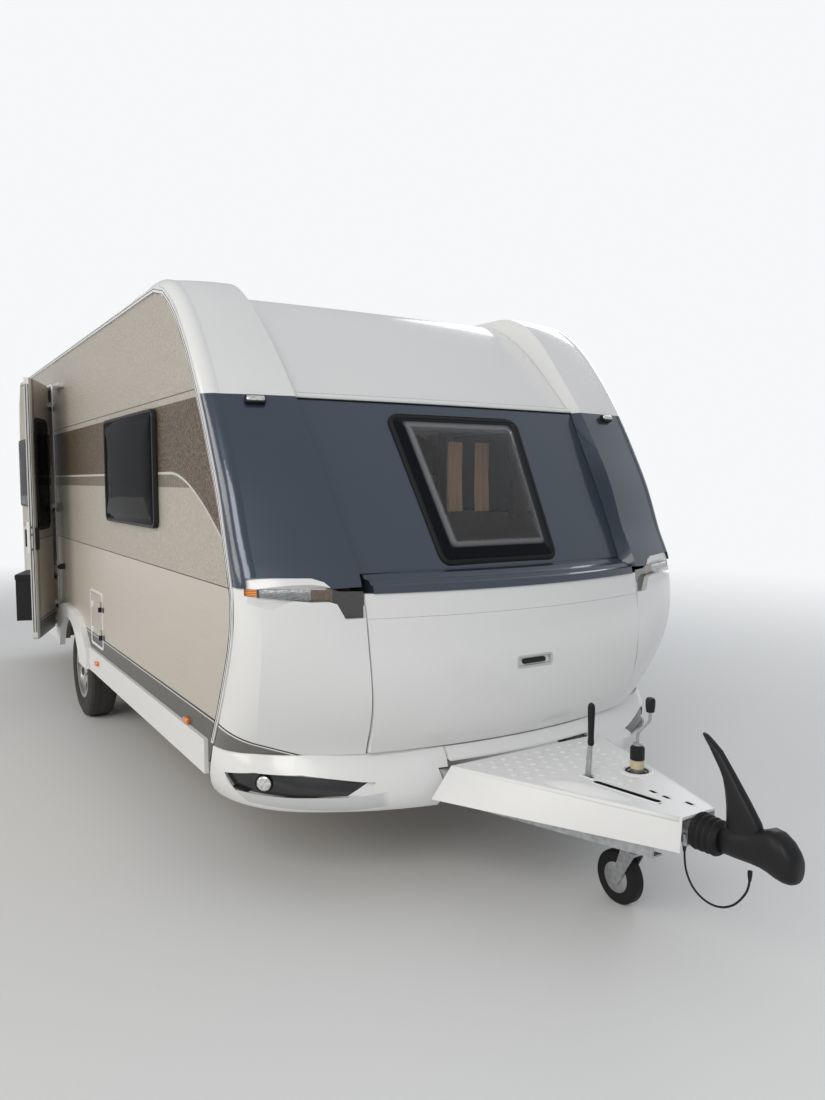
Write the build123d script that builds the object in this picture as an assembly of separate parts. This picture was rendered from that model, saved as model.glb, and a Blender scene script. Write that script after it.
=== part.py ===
"""Travel caravan on one axle, parked on its two road wheels and its jockey wheel.

Millimetres. The sizes below are measured from the road surface under the middle
of the axle: X forward to the hitch, Y to the left, Z up. When a piece is written
out it is moved so that the origin is the centre of the coupling's ball socket.
"""
from build123d import *
import os
from math import atan, cos, radians, sin, sqrt, tan

# Driving dimensions: the hitch
BALL_X = 4715          # ball centre ahead of the axle
BALL_Z = 487           # ball centre above the road
BALL_R = 25            # 50 mm towing ball
SOCKET_CLEARANCE = 0.25
SOCKET_STRAIGHT = 5    # straight wall of the socket above the ball's centre

# Driving dimensions: the body
HALF_WIDTH = 1150      # outer face of a side wall
WALL = 32              # sandwich wall, door and roof
GRP = 26               # moulded panels at the nose
SEAM_GAP = 2           # joint between the walls and the rear moulding
FLOOR_TOP = 550
FLOOR_THICK = 40
WALL_BOTTOM = 500
ROOF_TOP = 2530
REAR_X = -2420         # rearmost face of the body
REAR_ROOF_X = REAR_X + 240    # where the rear moulding meets the roof
ROOF_FRONT = 2214      # where the white front panel meets the roof
REAR_SEAM_X = REAR_X + 90     # rear edge of the side walls
WELD = 0.3             # air gap between pieces that are seated on each other

# Driving dimensions: the running gear
WHEEL_R = 325
TYRE_WIDTH = 188
WHEEL_Y = HALF_WIDTH - 130    # middle plane of a road wheel
RIM_R = 183
RAIL_Y = 600           # chassis rail centre
RAIL_HEIGHT = 120
RAIL_WIDTH = 44
RAIL_WEB = 6
RAIL_BEND = 2915       # where the rails turn in to form the drawbar's A
RAIL_TIP = BALL_X - 415
RAIL_SLOPE = 0.371
RAIL_TOP = FLOOR_TOP - FLOOR_THICK
RAIL_BOTTOM = RAIL_TOP - RAIL_HEIGHT
AXLE_X = 170           # torsion tube ahead of the wheel centre
AXLE_R = 45
ARM_Y = WHEEL_Y - 140  # middle of a swing arm
ARM_WIDTH = 50

# Driving dimensions: the entrance door, on the right side, hinged at its front
DOOR_FRONT = -550
DOOR_REAR = -1150
DOOR_BOTTOM = 565
DOOR_TOP = ROOF_TOP - 192
DOOR_GAP = 8
HINGE_OUT = 15         # hinge line outside the wall's face
DOOR_OPEN = 160        # angle in which the door stands open, degrees

# Driving dimensions: the nose
LID_AXIS_X = 1150      # the lid is turned about this upright line
UPPER_AXIS_X = -8700   # the flatter front panels bulge about this far line
LID_TOP = 1128
LID_BOTTOM = 592
LID_GAP = 0.8          # between the lid's upper edge and the header
HEADER_TOP = 1222
LEDGE_TOP = 1288
LAMP_TOP = 1262        # height of the lamps, above which the nose stretches with the roof
DRAWN_RISE = 1268      # height from the lamps to the roof for which the nose's tables are drawn


def rise(z):
    """A height of the nose's tables, which stretches above the lamps as the roof goes up."""
    return z if z <= LAMP_TOP else LAMP_TOP + (z - LAMP_TOP) * (ROOF_TOP - LAMP_TOP) / DRAWN_RISE


def inward(distance):
    """y of a point of the body, by its distance from the side wall's outer face."""
    return HALF_WIDTH - distance


COLOUR_LINE = rise(1988)      # height where the dark front begins

# Driving dimensions: the drawbar and jockey wheel
COVER_REAR = 3535
COVER_NOSE = BALL_X - 320
SHAFT_Z = 500          # overrun shaft above the road
JOCKEY_X = COVER_REAR + 450
JOCKEY_Y = 150
JOCKEY_TUBE_R = 24
JOCKEY_WHEEL_R = 105
JOCKEY_TRAIL = 75
JOCKEY_WHEEL_WIDTH = 50
CORD_R = 3.5
CORD_TOP = 440         # where the breakaway cable leaves its two ferrules

def eased(keys, values, key):
    """A value between those of a table, on a smooth curve that doesn't overshoot them."""
    spans = [b - a for a, b in zip(keys, keys[1:])]
    slopes = [(b - a) / span for a, b, span in zip(values, values[1:], spans)]
    middle = [2 * a * b / (a + b) if a * b > 0 else 0 for a, b in zip(slopes, slopes[1:])]
    tangents = slopes[:1] + middle + slopes[-1:]
    i = max(0, min(len(spans) - 1, sum(k <= key for k in keys) - 1))
    t = (key - keys[i]) / spans[i]
    return (values[i] * (1 + 2 * t) * (1 - t) ** 2 + values[i + 1] * t * t * (3 - 2 * t)
            + spans[i] * (tangents[i] * t * (1 - t) ** 2 - tangents[i + 1] * t * t * (1 - t)))


SEAM = [  # front edge of the side wall: x, z
    (1700, 2524), (1950, 2527), (2251, 2523), (2396, 2488), (2591, 2351), (2738, 2180), (2863, 1990),
    (2961, 1820), (3081, 1582), (3136, 1428), (3180, 1302), (3206, 1220), (3193, 1071),
    (3123, 901), (3037, 737), (2955, 600), (2894, 500)]

SEAM_RUN = [0]         # distance along the seam to each of its points
for (x0, z0), (x1, z1) in zip(SEAM, SEAM[1:]):
    SEAM_RUN.append(SEAM_RUN[-1] + sqrt((x1 - x0) ** 2 + (z1 - z0) ** 2))

PILLAR = [  # point of the seam; tilt of the normal; rise at crease and ridge; inward of ridge and foot
    (0, 90, 5, 8, 350, 366),
    (1, 90, 22, 50, 332, 352),
    (2, 74, 34, 50, 322, 342),
    (4, 47, 34, 47, 335, 352),
    (5, 38, 38, 58, 352, 367),
    (6, 31, 46, 87, 362, 384),
    (8, 25, 54, 142, 390, 410),
    (10, 18, 72, 186, 421, 442),
    (11, 8, 80, 214, 424, 456)]
CREASE_IN = 65         # the soft crease in from the side wall's face
PILLAR_STEPS = 16
BULGE = 6              # how far the face rises between crease and ridge above a straight line

CORNER = [  # z; x of the seam; x and inward of the crease; x and inward of the edge beside the lid
    (1300, 3181, 3258, 65, 3382, 424),
    (1225, 3204, 3292, 65, 3424, 428),
    (1071, 3193, 3315, 65, 3444, 434),
    (901, 3123, 3290, 65, 3459, 441),
    (737, 3037, 3225, 80, 3433, 453),
    (585.3, 2947, 3138, 108, 3362, 469)]

WINDOW_TOP = ROOF_TOP - 570
WINDOWS_SIDE = [  # side, x from, x to, z from, z to
    (-1, 1240, 2210, WINDOW_TOP - 515, WINDOW_TOP),
    (-1, REAR_X + 160, REAR_X + 780, WINDOW_TOP - 515, WINDOW_TOP + 30),
    (1, 1240, 2210, WINDOW_TOP - 515, WINDOW_TOP),
    (1, REAR_X + 360, REAR_X + 1330, WINDOW_TOP - 515, WINDOW_TOP),
    (1, -330, 370, WINDOW_TOP - 460, WINDOW_TOP)]
PANE_LAP = 18
PANE_THICK = 22
CORNER_R = 55

parts = {}


def box(x0, x1, y0, y1, z0, z1):
    return Pos((x0 + x1) / 2, (y0 + y1) / 2, (z0 + z1) / 2) * Box(x1 - x0, y1 - y0, z1 - z0)


def rod(start, end, radius):
    """A round bar from one point to another."""
    path = Vector(*end) - Vector(*start)
    plane = Plane(origin=start, z_dir=path)
    return extrude(plane * Circle(radius), amount=path.length)


def plate_xz(points, y0, y1):
    """A plate whose outline is given as x, z, between two y."""
    face = make_face(Polyline([(x, y0, z) for x, z in points], close=True))
    return extrude(face, amount=y1 - y0, dir=(0, 1, 0))


def plate_xy(points, z0, z1):
    face = make_face(Polyline([(x, y, z0) for x, y in points], close=True))
    return extrude(face, amount=z1 - z0, dir=(0, 0, 1))


def plate_yz(points, x0, x1):
    face = make_face(Polyline([(x0, y, z) for y, z in points], close=True))
    return extrude(face, amount=x1 - x0, dir=(1, 0, 0))


def side_plate(side, x0, x1, z0, z1, radius, start, thick):
    """A rounded plate on a side wall, from y = start outwards."""
    plane = Plane(origin=((x0 + x1) / 2, side * start, (z0 + z1) / 2), x_dir=(1, 0, 0),
                  z_dir=(0, side, 0))
    return extrude(plane * RectangleRounded(x1 - x0, z1 - z0, radius), amount=thick)


def turned(points, axis_x, spread):
    """An x, z outline turned about the upright line at axis_x, spread degrees to each side."""
    face = make_face(Polyline([(x, 0, z) for x, z in points], close=True))
    face = face.rotate(Axis((axis_x, 0, 0), (0, 0, 1)), -spread)
    return revolve(face, Axis((axis_x, 0, 0), (0, 0, 1)), 2 * spread)


def joined(shapes):
    return Compound(children=[solid for shape in shapes for solid in shape.solids()])


def add(name, *shapes):
    """Keep a node, as one solid or as several that don't touch."""
    parts[name] = shapes[0] if len(shapes) == 1 else joined(shapes)


# Walls, roof and floor
def seam_point(run):
    """x and drawn z of the seam at a distance along it."""
    return tuple(eased(SEAM_RUN, column, run) for column in zip(*SEAM))


SEAM_STEP = 60
smooth_seam = [seam_point(run) for run in range(int(SEAM_RUN[2]), int(SEAM_RUN[-1]), SEAM_STEP)] + SEAM[-1:]


def wall_outline(inset=0):
    """Outline of a side wall in x, z, drawn in from its top and front edges by inset."""
    front = [(x - inset, rise(z) - inset * (z > 1300)) for x, z in smooth_seam]
    rear = [(REAR_ROOF_X + inset, ROOF_TOP - 12 - inset), (REAR_SEAM_X + 40 + inset, ROOF_TOP - 200),
            (REAR_SEAM_X + inset, ROOF_TOP - 430), (REAR_SEAM_X + inset, WALL_BOTTOM)]
    return front + rear[::-1]


def side_wall(side):
    inner = HALF_WIDTH - WALL
    y0, y1 = (inner, HALF_WIDTH) if side > 0 else (-HALF_WIDTH, -inner)
    wall = plate_xz(wall_outline(EDGE_GAP), y0, y1)
    for window_side, x0, x1, z0, z1 in WINDOWS_SIDE:
        if window_side == side:
            wall -= side_plate(side, x0, x1, z0, z1, CORNER_R - PANE_LAP, inner - 10, WALL + 20)
    wheel_gap = Pos(0, side * HALF_WIDTH, WHEEL_R) * Rot(90, 0, 0) * Cylinder(ARCH_R, 4 * WALL)
    wall -= wheel_gap
    if side < 0:
        wall -= box(DOOR_REAR - DOOR_GAP, DOOR_FRONT + DOOR_GAP, y0 - 10, y1 + 10,
                    DOOR_BOTTOM - DOOR_GAP, DOOR_TOP + DOOR_GAP)
        wall -= side_plate(side, *FLAP, 12, inner - 10, WALL + 20)
    return wall


ARCH_R = 375
EDGE_GAP = 8                       # between a wall's edge and the mouldings, under the edge rail
FLAP = (628, 942, 638, 962)        # service flap: x from, x to, z from, z to

add("side_wall_right", side_wall(-1))
add("side_wall_left", side_wall(1))

inside_half = HALF_WIDTH - WALL - WELD
roof = box(REAR_ROOF_X + WELD, ROOF_FRONT + 86, -inside_half, inside_half, ROOF_TOP - WALL, ROOF_TOP)
for y0, y1 in ((inward(369), inward(-50)), (-inward(-50), -inward(369))):
    roof -= box(SEAM[0][0] - 2, ROOF_FRONT + 186, y0, y1, ROOF_TOP - 130, ROOF_TOP + 70)
ahead = turned([(ROOF_FRONT, ROOF_TOP - 130), (ROOF_FRONT + 486, ROOF_TOP - 130),
                (ROOF_FRONT + 486, ROOF_TOP + 70), (ROOF_FRONT, ROOF_TOP + 70)], UPPER_AXIS_X, 7)
add("roof_panel", roof - ahead)

FLOOR_FRONT = 3440                 # front of the locker's floor, rounded like the lid
floor = box(REAR_X + WALL + WELD, 2870, -inside_half, inside_half, FLOOR_TOP - FLOOR_THICK, FLOOR_TOP)
LOCKER_HALF = inward(510)
locker_floor = box(2860, 3600, -LOCKER_HALF, LOCKER_HALF, FLOOR_TOP - FLOOR_THICK, FLOOR_TOP)
floor += locker_floor & (Pos(LID_AXIS_X, 0, FLOOR_TOP) * Cylinder(FLOOR_FRONT - LID_AXIS_X, 200))
HOUSING_Y = WHEEL_Y - 170          # inner face of a wheel housing
for side in (-1, 1):
    floor -= box(-ARCH_R, ARCH_R, *sorted((side * HOUSING_Y, side * inward(-50))), 400, FLOOR_TOP + 50)
add("floor", floor)


HOUSING_TOP = 2 * WHEEL_R + 80
HOUSING_SKIN = 8


def wheel_housing(side):
    """The box over a road wheel inside the cabin."""
    y_in, y_out = HOUSING_Y, HALF_WIDTH - WALL - WELD
    y0, y1 = sorted((side * y_in, side * y_out))
    shell = box(-ARCH_R, ARCH_R, y0, y1, FLOOR_TOP + WELD, HOUSING_TOP)
    i0, i1 = sorted((side * (y_in + HOUSING_SKIN), side * (y_out + 10)))
    return shell - box(-ARCH_R + HOUSING_SKIN, ARCH_R - HOUSING_SKIN, i0, i1, FLOOR_TOP - 20,
                       HOUSING_TOP - HOUSING_SKIN)


add("wheel_housings", wheel_housing(-1), wheel_housing(1))

# Rear moulding
REAR_BOTTOM = 420
REAR_ROUND = 50                    # radius of the rear corners
rear_points = [(REAR_ROOF_X, ROOF_TOP), (REAR_X + 120, ROOF_TOP - 90), (REAR_X + 35, ROOF_TOP - 300),
               (REAR_X, ROOF_TOP - 540), (REAR_X, 700), (REAR_X, REAR_BOTTOM)]
rear_inner = [(x + WALL, z) for x, z in rear_points]
rear_block = plate_xz(rear_points + [(REAR_ROOF_X, REAR_BOTTOM)], -HALF_WIDTH, HALF_WIDTH)
rear_block = fillet(rear_block.edges().filter_by(lambda e: abs(abs(e.center().Y) - HALF_WIDTH) < 1
                    and e.center().X < REAR_ROOF_X - 20 and e.center().Z > REAR_BOTTOM + 5), REAR_ROUND)
rear_hollow = plate_xz([(REAR_ROOF_X + 10, ROOF_TOP - WALL)] + rear_inner[1:-1]
                       + [(REAR_X + WALL, REAR_BOTTOM - 10), (REAR_ROOF_X + 10, REAR_BOTTOM - 10)],
                       -HALF_WIDTH + WALL, HALF_WIDTH - WALL)
rear_shell = rear_block - rear_hollow
for side in (-1, 1):
    rear_shell -= plate_xz([(x, z + (30 if z > ROOF_TOP - 130 else 0)) for x, z in wall_outline(-SEAM_GAP)],
                           *sorted((side * (HALF_WIDTH - WALL - 1), side * (HALF_WIDTH + 5))))
REAR_WINDOW = (600, ROOF_TOP - 1110, ROOF_TOP - 580)    # half width, z from, z to
rear_shell -= box(REAR_X - 80, REAR_X + 120, -REAR_WINDOW[0], REAR_WINDOW[0], REAR_WINDOW[1], REAR_WINDOW[2])
add("rear_shell", rear_shell)


# Nose panels
WHITE_PROFILE = [(ROOF_FRONT + WELD, ROOF_TOP), (2440, rise(2420)), (2640, rise(2266)), (2800, rise(2122)),
                 (2940, COLOUR_LINE + 1)]
DARK_PROFILE = [(2941, COLOUR_LINE - 1), (3170, rise(1600)), (3352, LEDGE_TOP + WELD)]
PANEL_BACK = 24                    # how far the panels' bulge sets them back beside the pillars


def panel_rise(x, z, tilt):
    """Height of the panels over the seam's point, along the tilted normal."""
    line = WHITE_PROFILE + DARK_PROFILE[1:] + [(3400, LEDGE_TOP - 82)]
    across = [((px - PANEL_BACK - x) * sin(tilt) - (pz - z) * cos(tilt),
               (px - PANEL_BACK - x) * cos(tilt) + (pz - z) * sin(tilt)) for px, pz in line]
    for (a0, h0), (a1, h1) in zip(across, across[1:]):
        if a0 <= 0 <= a1:
            return h0 + (h1 - h0) * a0 / (a0 - a1)
    return 0


def pillar_sections():
    """Points of the upper corner moulding, as x, z and inward, for each step along the seam."""
    runs = [SEAM_RUN[row[0]] for row in PILLAR]
    columns = list(zip(*PILLAR))[1:]
    rows = []
    for step in range(PILLAR_STEPS + 1):
        run = runs[-1] * step / PILLAR_STEPS
        tilt, crease, ridge, ridge_in, foot_in = (eased(runs, column, run) for column in columns)
        tilt = radians(tilt)
        x, z = seam_point(run)
        z = rise(z)
        foot = panel_rise(x, z, tilt)
        heights = [(0, 0), (14, 0.62 * crease), (CREASE_IN, crease), (ridge_in, ridge), (foot_in, foot),
                   (foot_in, foot - GRP), (WALL + WELD, -GRP), (WALL + WELD, 0)]
        rows.append([(x + h * cos(tilt), z + h * sin(tilt), distance) for distance, h in heights])
    return rows


SECTIONS = pillar_sections()
LAMP_EDGE = [  # inward and z of the line between the pillar above and the lamp and corner below
    (-60, 1252.5), (26, 1252.5), (26, 1290), (250, 1285), (290, 1271), (316, 1245), (344, 1235), (500, 1231)]


def below_lamp_edge(side, low, drop):
    """Everything on one side of the nose between a low height and the lamp's line, set down by drop."""
    line = [(side * inward(distance), z - drop) for distance, z in LAMP_EDGE]
    return plate_yz(line + [(line[-1][0], low), (line[0][0], low)], 2900, 3600)


def pillar(side):
    """Upper corner moulding, from the roof down to the lamp."""
    faces = []
    for row in SECTIONS:
        points = [Vector(x, side * inward(distance), z) for x, z, distance in row]
        corner = ThreePointArc(*points[:3])
        middle = (points[2] + points[3]) / 2 + (points[2] - points[7]).normalized() * BULGE
        top = ThreePointArc(points[2], middle, points[3])
        rest = Polyline(*points[3:], points[0])
        faces.append(make_face(Wire([corner.edge(), top.edge()] + list(rest.edges()))))
    return loft(faces) - below_lamp_edge(side, 900, -WELD)


def front_corner(side):
    """Lower corner moulding, from the lamp down to the bumper."""
    sections = []
    for z, x_seam, x_crease, crease_in, x_lid, lid_in in CORNER:
        y_crease, y_lid = inward(crease_in), inward(lid_in)

        def at(x, y):
            return Vector(x, side * y, z)

        x_mid = x_seam + 0.62 * (x_crease - x_seam)
        y_mid = y_crease + 0.62 * (HALF_WIDTH - y_crease)
        corner = ThreePointArc(at(x_seam, HALF_WIDTH), at(x_mid, y_mid), at(x_crease, y_crease))
        face = ThreePointArc(at(x_crease, y_crease),
                             at((x_crease + x_lid) / 2 + 14, (y_crease + y_lid) / 2 + 8),
                             at(x_lid, y_lid))
        rest = Polyline(at(x_lid, y_lid), at(x_lid - GRP, y_lid), at(x_crease - GRP - 12, y_crease - 20),
                        at(x_seam - GRP, inside_half), at(x_seam, inside_half), at(x_seam, HALF_WIDTH))
        sections.append(make_face(Wire([corner.edge(), face.edge()] + list(rest.edges()))))
    shape = loft(sections) & below_lamp_edge(side, 500, 0)
    return shape - lamp_room(side) - scoop(side)


LAMP_STRIP = [(3243, 26), (3285, 62), (3419, 430), (3360, 430), (3236, 96), (3184, 42)]  # x, inward
LAMP_OUTLINE = [  # inward and z of the lamp's face, top and then bottom
    (-8, 1260), (30, 1260), (30, 1251), (300, 1241), (316, 1260), (430, 1260), (430, 1133), (354, 1133),
    (326, 1190), (300, 1199),
    (240, 1199), (60, 1219), (-8, 1231)]


LAMP_GAP = 0.4         # air round the lamp in its seat


def lamp_outline(side, gap):
    """The lamp's outline from the front, drawn in by a gap, as a long bar towards the front."""
    points = [(side * inward(distance), z) for distance, z in LAMP_OUTLINE]
    outline = make_face(Polyline(*points, close=True))
    if gap:
        outline = offset(outline, -gap)
    return extrude(Plane.YZ.offset(3100) * outline, 500, dir=(1, 0, 0))


def lamp(side):
    strip = plate_xy([(x + LAMP_GAP, side * inward(distance)) for x, distance in LAMP_STRIP], 1100, 1300)
    return lamp_outline(side, LAMP_GAP) & strip & below_lamp_edge(side, 1100, LAMP_GAP)


def lamp_room(side):
    """What the lamp takes from the corner, up to the open air in front of it."""
    front = LAMP_STRIP[3:5] + [(3180, 40), (3600, -60), (3600, 500), (3360, 500)]
    open_air = plate_xy([(x, side * inward(distance)) for x, distance in front], 1100, 1300)
    return lamp_outline(side, 0) & open_air


SCOOP_END = 318        # inward of the inner end of the hollows above and below the lamp


def scoop(side):
    """The hollow that leads to the lamp from above and below, between the corner's crease and the lamp's step."""
    (x_start, in_start), (x_end, in_end) = LAMP_STRIP[1], LAMP_STRIP[2]
    start = Vector(x_start, side * inward(in_start), 0)
    end = Vector(x_end, side * inward(in_end), 0)
    run = (end - start).normalized()
    out = Vector(run.Y * side, -run.X * side, 0)
    out = out if out.X > 0 else -out
    stations = [(26, 1288, 1188), (250, 1283, 1150), (SCOOP_END, 1252, 1138)]
    sections = []
    for distance, top, bottom in stations:
        middle = start + run * ((distance - in_start) / (in_end - in_start) * (end - start).length)
        face = middle + out * 24
        back = middle - out * 6
        sections.append(make_face(Polyline(
            Vector(face.X, face.Y, top), Vector(back.X, back.Y, 1246), Vector(back.X, back.Y, 1200),
            Vector(face.X, face.Y, bottom), close=True)))
    return loft(sections, ruled=True)


for name, side in (("right", -1), ("left", 1)):
    add("front_pillar_" + name, pillar(side))
    add("front_corner_" + name, front_corner(side))



def skin(profile, sweep):
    """A panel of an x, z profile that is turned about the far line, GRP thick."""
    outer = Spline(*[Vector(x, 0, z) for x, z in profile])
    start, end = profile[0], profile[-1]
    inner = Spline(Vector(end[0] - 36, 0, end[1]), *[Vector(x - 19, 0, z - 22) for x, z in profile[-2:0:-1]],
                   Vector(start[0], 0, start[1] - WALL))
    face = make_face(Wire([outer.edge(), Line(outer @ 1, inner @ 0).edge(), inner.edge(),
                           Line(inner @ 1, outer @ 0).edge()]))
    axis = Axis((UPPER_AXIS_X, 0, 0), (0, 0, 1))
    return revolve(face.rotate(axis, -sweep), axis, 2 * sweep)


white = skin(WHITE_PROFILE, 4.5)
dark = turned(DARK_PROFILE + [(3322, LEDGE_TOP + WELD), (3146, rise(1588)), (2908, COLOUR_LINE - 1)],
              UPPER_AXIS_X, 4.5)
panel_edge = [(inward(row[4][2]), row[4][1]) for row in SECTIONS if row[4][0] > ROOF_FRONT - 60]
panel_edge = [(panel_edge[0][0], ROOF_TOP + 170)] + panel_edge[:-1] + [(inward(466), 1200)]
panel_cut = plate_yz([(y - 3, z) for y, z in panel_edge] + [(-y + 3, z) for y, z in panel_edge[::-1]],
                     2000, 3700)
FRONT_WINDOW = [(-300, rise(1325)), (300, rise(1325)), (352, rise(1942)), (-352, rise(1942))]
window_cut = plate_yz(FRONT_WINDOW, 2700, 3500)
window_cut = fillet(window_cut.edges().filter_by(Axis.X), 50)
add("front_panel_white", white & panel_cut)
add("front_panel_dark", (dark & panel_cut) - window_cut)

ledge = turned([(3260, LEDGE_TOP), (3400, LEDGE_TOP), (3450, LEDGE_TOP - 3), (3462, LEDGE_TOP - 16),
                (3500, LEDGE_TOP - 20), (3512, LEDGE_TOP - 34), (3532, LEDGE_TOP - 38), (3540, HEADER_TOP + WELD),
                (3260, HEADER_TOP + WELD)], LID_AXIS_X, 20)
header = turned([(3534, HEADER_TOP), (3546, LID_TOP + LID_GAP), (3546 - GRP, LID_TOP + LID_GAP),
                 (3534 - GRP, HEADER_TOP)], LID_AXIS_X, 20)
LID_PROFILE = [(3547, LID_TOP), (3562, 1010), (3565, 880), (3543, 735), (3480, LID_BOTTOM)]
lid_outer = Spline(*[Vector(x, 0, z) for x, z in LID_PROFILE])
lid_inner = Spline(*[Vector(x - GRP, 0, z) for x, z in LID_PROFILE[::-1]])
lid_face = make_face(Wire([lid_outer.edge(), Line(lid_outer @ 1, lid_inner @ 0).edge(), lid_inner.edge(),
                           Line(lid_inner @ 1, lid_outer @ 0).edge()]))
lid_axis = Axis((LID_AXIS_X, 0, 0), (0, 0, 1))
lid = revolve(lid_face.rotate(lid_axis, -20), lid_axis, 40)
lid_edge = [(inward(428), 1300), (inward(432), LID_TOP), (inward(441), 900), (inward(455), 737),
            (inward(470), 590), (inward(470), 580)]
lid_cut = plate_yz([(y - 5, z) for y, z in lid_edge] + [(-y + 5, z) for y, z in lid_edge[::-1]],
                   3000, 3700)
add("front_ledge", ledge & box(3000, 3700, -inward(466), inward(466), 1200, 1300))
add("locker_header", header & lid_cut)
handle_recess = turned([(3575, 895), (3575, 935), (3552, 935), (3552, 895)], LID_AXIS_X, 2.1)
add("locker_lid", (lid & lid_cut) - handle_recess)

bulkhead = box(2840, 2866, -inside_half, inside_half, FLOOR_TOP + WELD, HEADER_TOP)
bulkhead += box(2860, 3400, -LOCKER_HALF, LOCKER_HALF, HEADER_TOP - GRP, HEADER_TOP)
add("locker_bulkhead", bulkhead)

# Running gear
RAIL_REAR = REAR_X + 270


def rail_y(x):
    """Middle of a rail, which turns in towards the coupling ahead of the bend."""
    return RAIL_Y - max(0, x - RAIL_BEND) * RAIL_SLOPE


def rail(side):
    """One chassis rail with its half of the drawbar's A."""
    half = RAIL_WIDTH / 2
    outer = [(RAIL_REAR, RAIL_Y + half), (RAIL_BEND + 5, RAIL_Y + half), (RAIL_TIP, rail_y(RAIL_TIP) + half + 2)]
    inner = [(RAIL_TIP, rail_y(RAIL_TIP) - half - 2), (RAIL_BEND - 5, RAIL_Y - half), (RAIL_REAR, RAIL_Y - half)]
    bar = plate_xy([(x, side * y) for x, y in outer + inner], RAIL_BOTTOM, RAIL_TOP - WELD)
    pocket = [(RAIL_REAR - 10, RAIL_Y - half - 5), (RAIL_BEND - 9, RAIL_Y - half - 5),
              (RAIL_TIP + 20, rail_y(RAIL_TIP) - half - 18), (RAIL_TIP + 20, rail_y(RAIL_TIP + 20) + half - RAIL_WEB),
              (RAIL_BEND + 4, RAIL_Y + half - RAIL_WEB), (RAIL_REAR - 10, RAIL_Y + half - RAIL_WEB)]
    return bar - plate_xy([(x, side * y) for x, y in pocket], RAIL_BOTTOM + RAIL_WEB, RAIL_TOP - RAIL_WEB)


add("chassis_rail_right", rail(-1))
add("chassis_rail_left", rail(1))

def cross_member(x):
    """A channel between the rails, open to the rear."""
    reach = RAIL_Y + RAIL_WIDTH / 2 - RAIL_WEB - WELD
    bottom, top = RAIL_BOTTOM + RAIL_WEB + WELD, RAIL_TOP - RAIL_WEB - WELD
    channel = box(x - 25, x + 25, -reach, reach, bottom, top)
    return channel - box(x - 30, x + 20, -reach - 5, reach + 5, bottom + 5, top - 5)


add("cross_members", *[cross_member(x) for x in (RAIL_REAR + 100, -900, 1500, 2800)])

axle_z = RAIL_BOTTOM - AXLE_R - 8
axle_half = ARM_Y - ARM_WIDTH / 2 - WELD
axle = rod((AXLE_X, -axle_half, axle_z), (AXLE_X, axle_half, axle_z), AXLE_R)
for side in (-1, 1):
    axle += box(AXLE_X - 90, AXLE_X + 90, side * RAIL_Y - 40, side * RAIL_Y + 40, axle_z, RAIL_BOTTOM - WELD)
add("axle_beam", axle)


def swing_arm(side):
    """Trailing arm with its stub axle and brake drum."""
    y_arm = side * ARM_Y
    arm = Pos(AXLE_X, y_arm, axle_z) * Rot(90, 0, 0) * Cylinder(52, ARM_WIDTH)
    arm += Pos(0, y_arm, WHEEL_R) * Rot(90, 0, 0) * Cylinder(48, ARM_WIDTH)
    arm += Pos(AXLE_X / 2, y_arm, (axle_z + WHEEL_R) / 2) * Box(AXLE_X, 44, 84)
    drum = Pos(0, side * (WHEEL_Y - 84), WHEEL_R) * Rot(90, 0, 0) * Cylinder(125, 62)
    stub = Pos(0, side * (WHEEL_Y - 30), WHEEL_R) * Rot(90, 0, 0) * Cylinder(18, 130)
    return arm + drum + stub


add("swing_arms", swing_arm(-1), swing_arm(1))


def ring(points, y_mid):
    """An r, y outline turned about the wheel's axle."""
    face = make_face(Polyline([(r, y, 0) for r, y in points], close=True))
    return Pos(0, y_mid, 0) * revolve(face, Axis.Y, 360)


half_tyre = TYRE_WIDTH / 2
tyre_half = [(RIM_R + WELD, 66), (RIM_R + 14, 68), (RIM_R + 55, half_tyre), (WHEEL_R - 45, half_tyre),
             (WHEEL_R - 10, 80), (WHEEL_R, 62)]
tyre_outline = tyre_half + [(r, -y) for r, y in tyre_half[::-1]]
HUB_BORE = 18.5


def road_wheel(side):
    """A five-spoke light-alloy rim."""
    out = side
    barrel = ring([(RIM_R - 12, -82), (RIM_R + 12, -82), (RIM_R, -70), (RIM_R, 70), (RIM_R + 12, 82),
                   (RIM_R - 4, 82), (RIM_R - 12, 60)], 0)
    disc = ring([(HUB_BORE, out * 10), (HUB_BORE, out * 48), (70, out * 48), (RIM_R - 10, out * 66),
                 (RIM_R - 10, out * 44), (70, out * 10)], 0)
    for turn in range(5):
        gap = Pos(122, 0, 0) * Rot(90, 0, 0) * Cylinder(30, 200)
        disc -= Rot(0, turn * 72 + 18, 0) * gap
    cap = ring([(0, out * 50), (0, out * 58), (30, out * 58), (34, out * 48), (HUB_BORE, out * 48),
                (HUB_BORE, out * 50)], 0)
    return Pos(0, side * WHEEL_Y, WHEEL_R) * (barrel + disc + cap)


for name, side in (("right", -1), ("left", 1)):
    add("tyre_" + name, Pos(0, 0, WHEEL_R) * ring(tyre_outline, side * WHEEL_Y))
    add("rim_" + name, road_wheel(side))


def corner_steady(x, side, towards):
    """A stabiliser leg folded up under the floor."""
    y = side * 780
    leg = box(*sorted((x, x + towards * 520)), y - 22, y + 22, 432, 470)
    hinge = box(*sorted((x - towards * 30, x + towards * 60)), y - 35, y + 35, 470, RAIL_TOP - WELD)
    foot = box(*sorted((x + towards * 440, x + towards * 540)), y - 45, y + 45, 424, 432)
    return leg + hinge + foot


add("corner_steadies", *[corner_steady(x, side, towards) for x, towards in ((2250, 1), (REAR_X + 220, 1))
                         for side in (-1, 1)])

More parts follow.
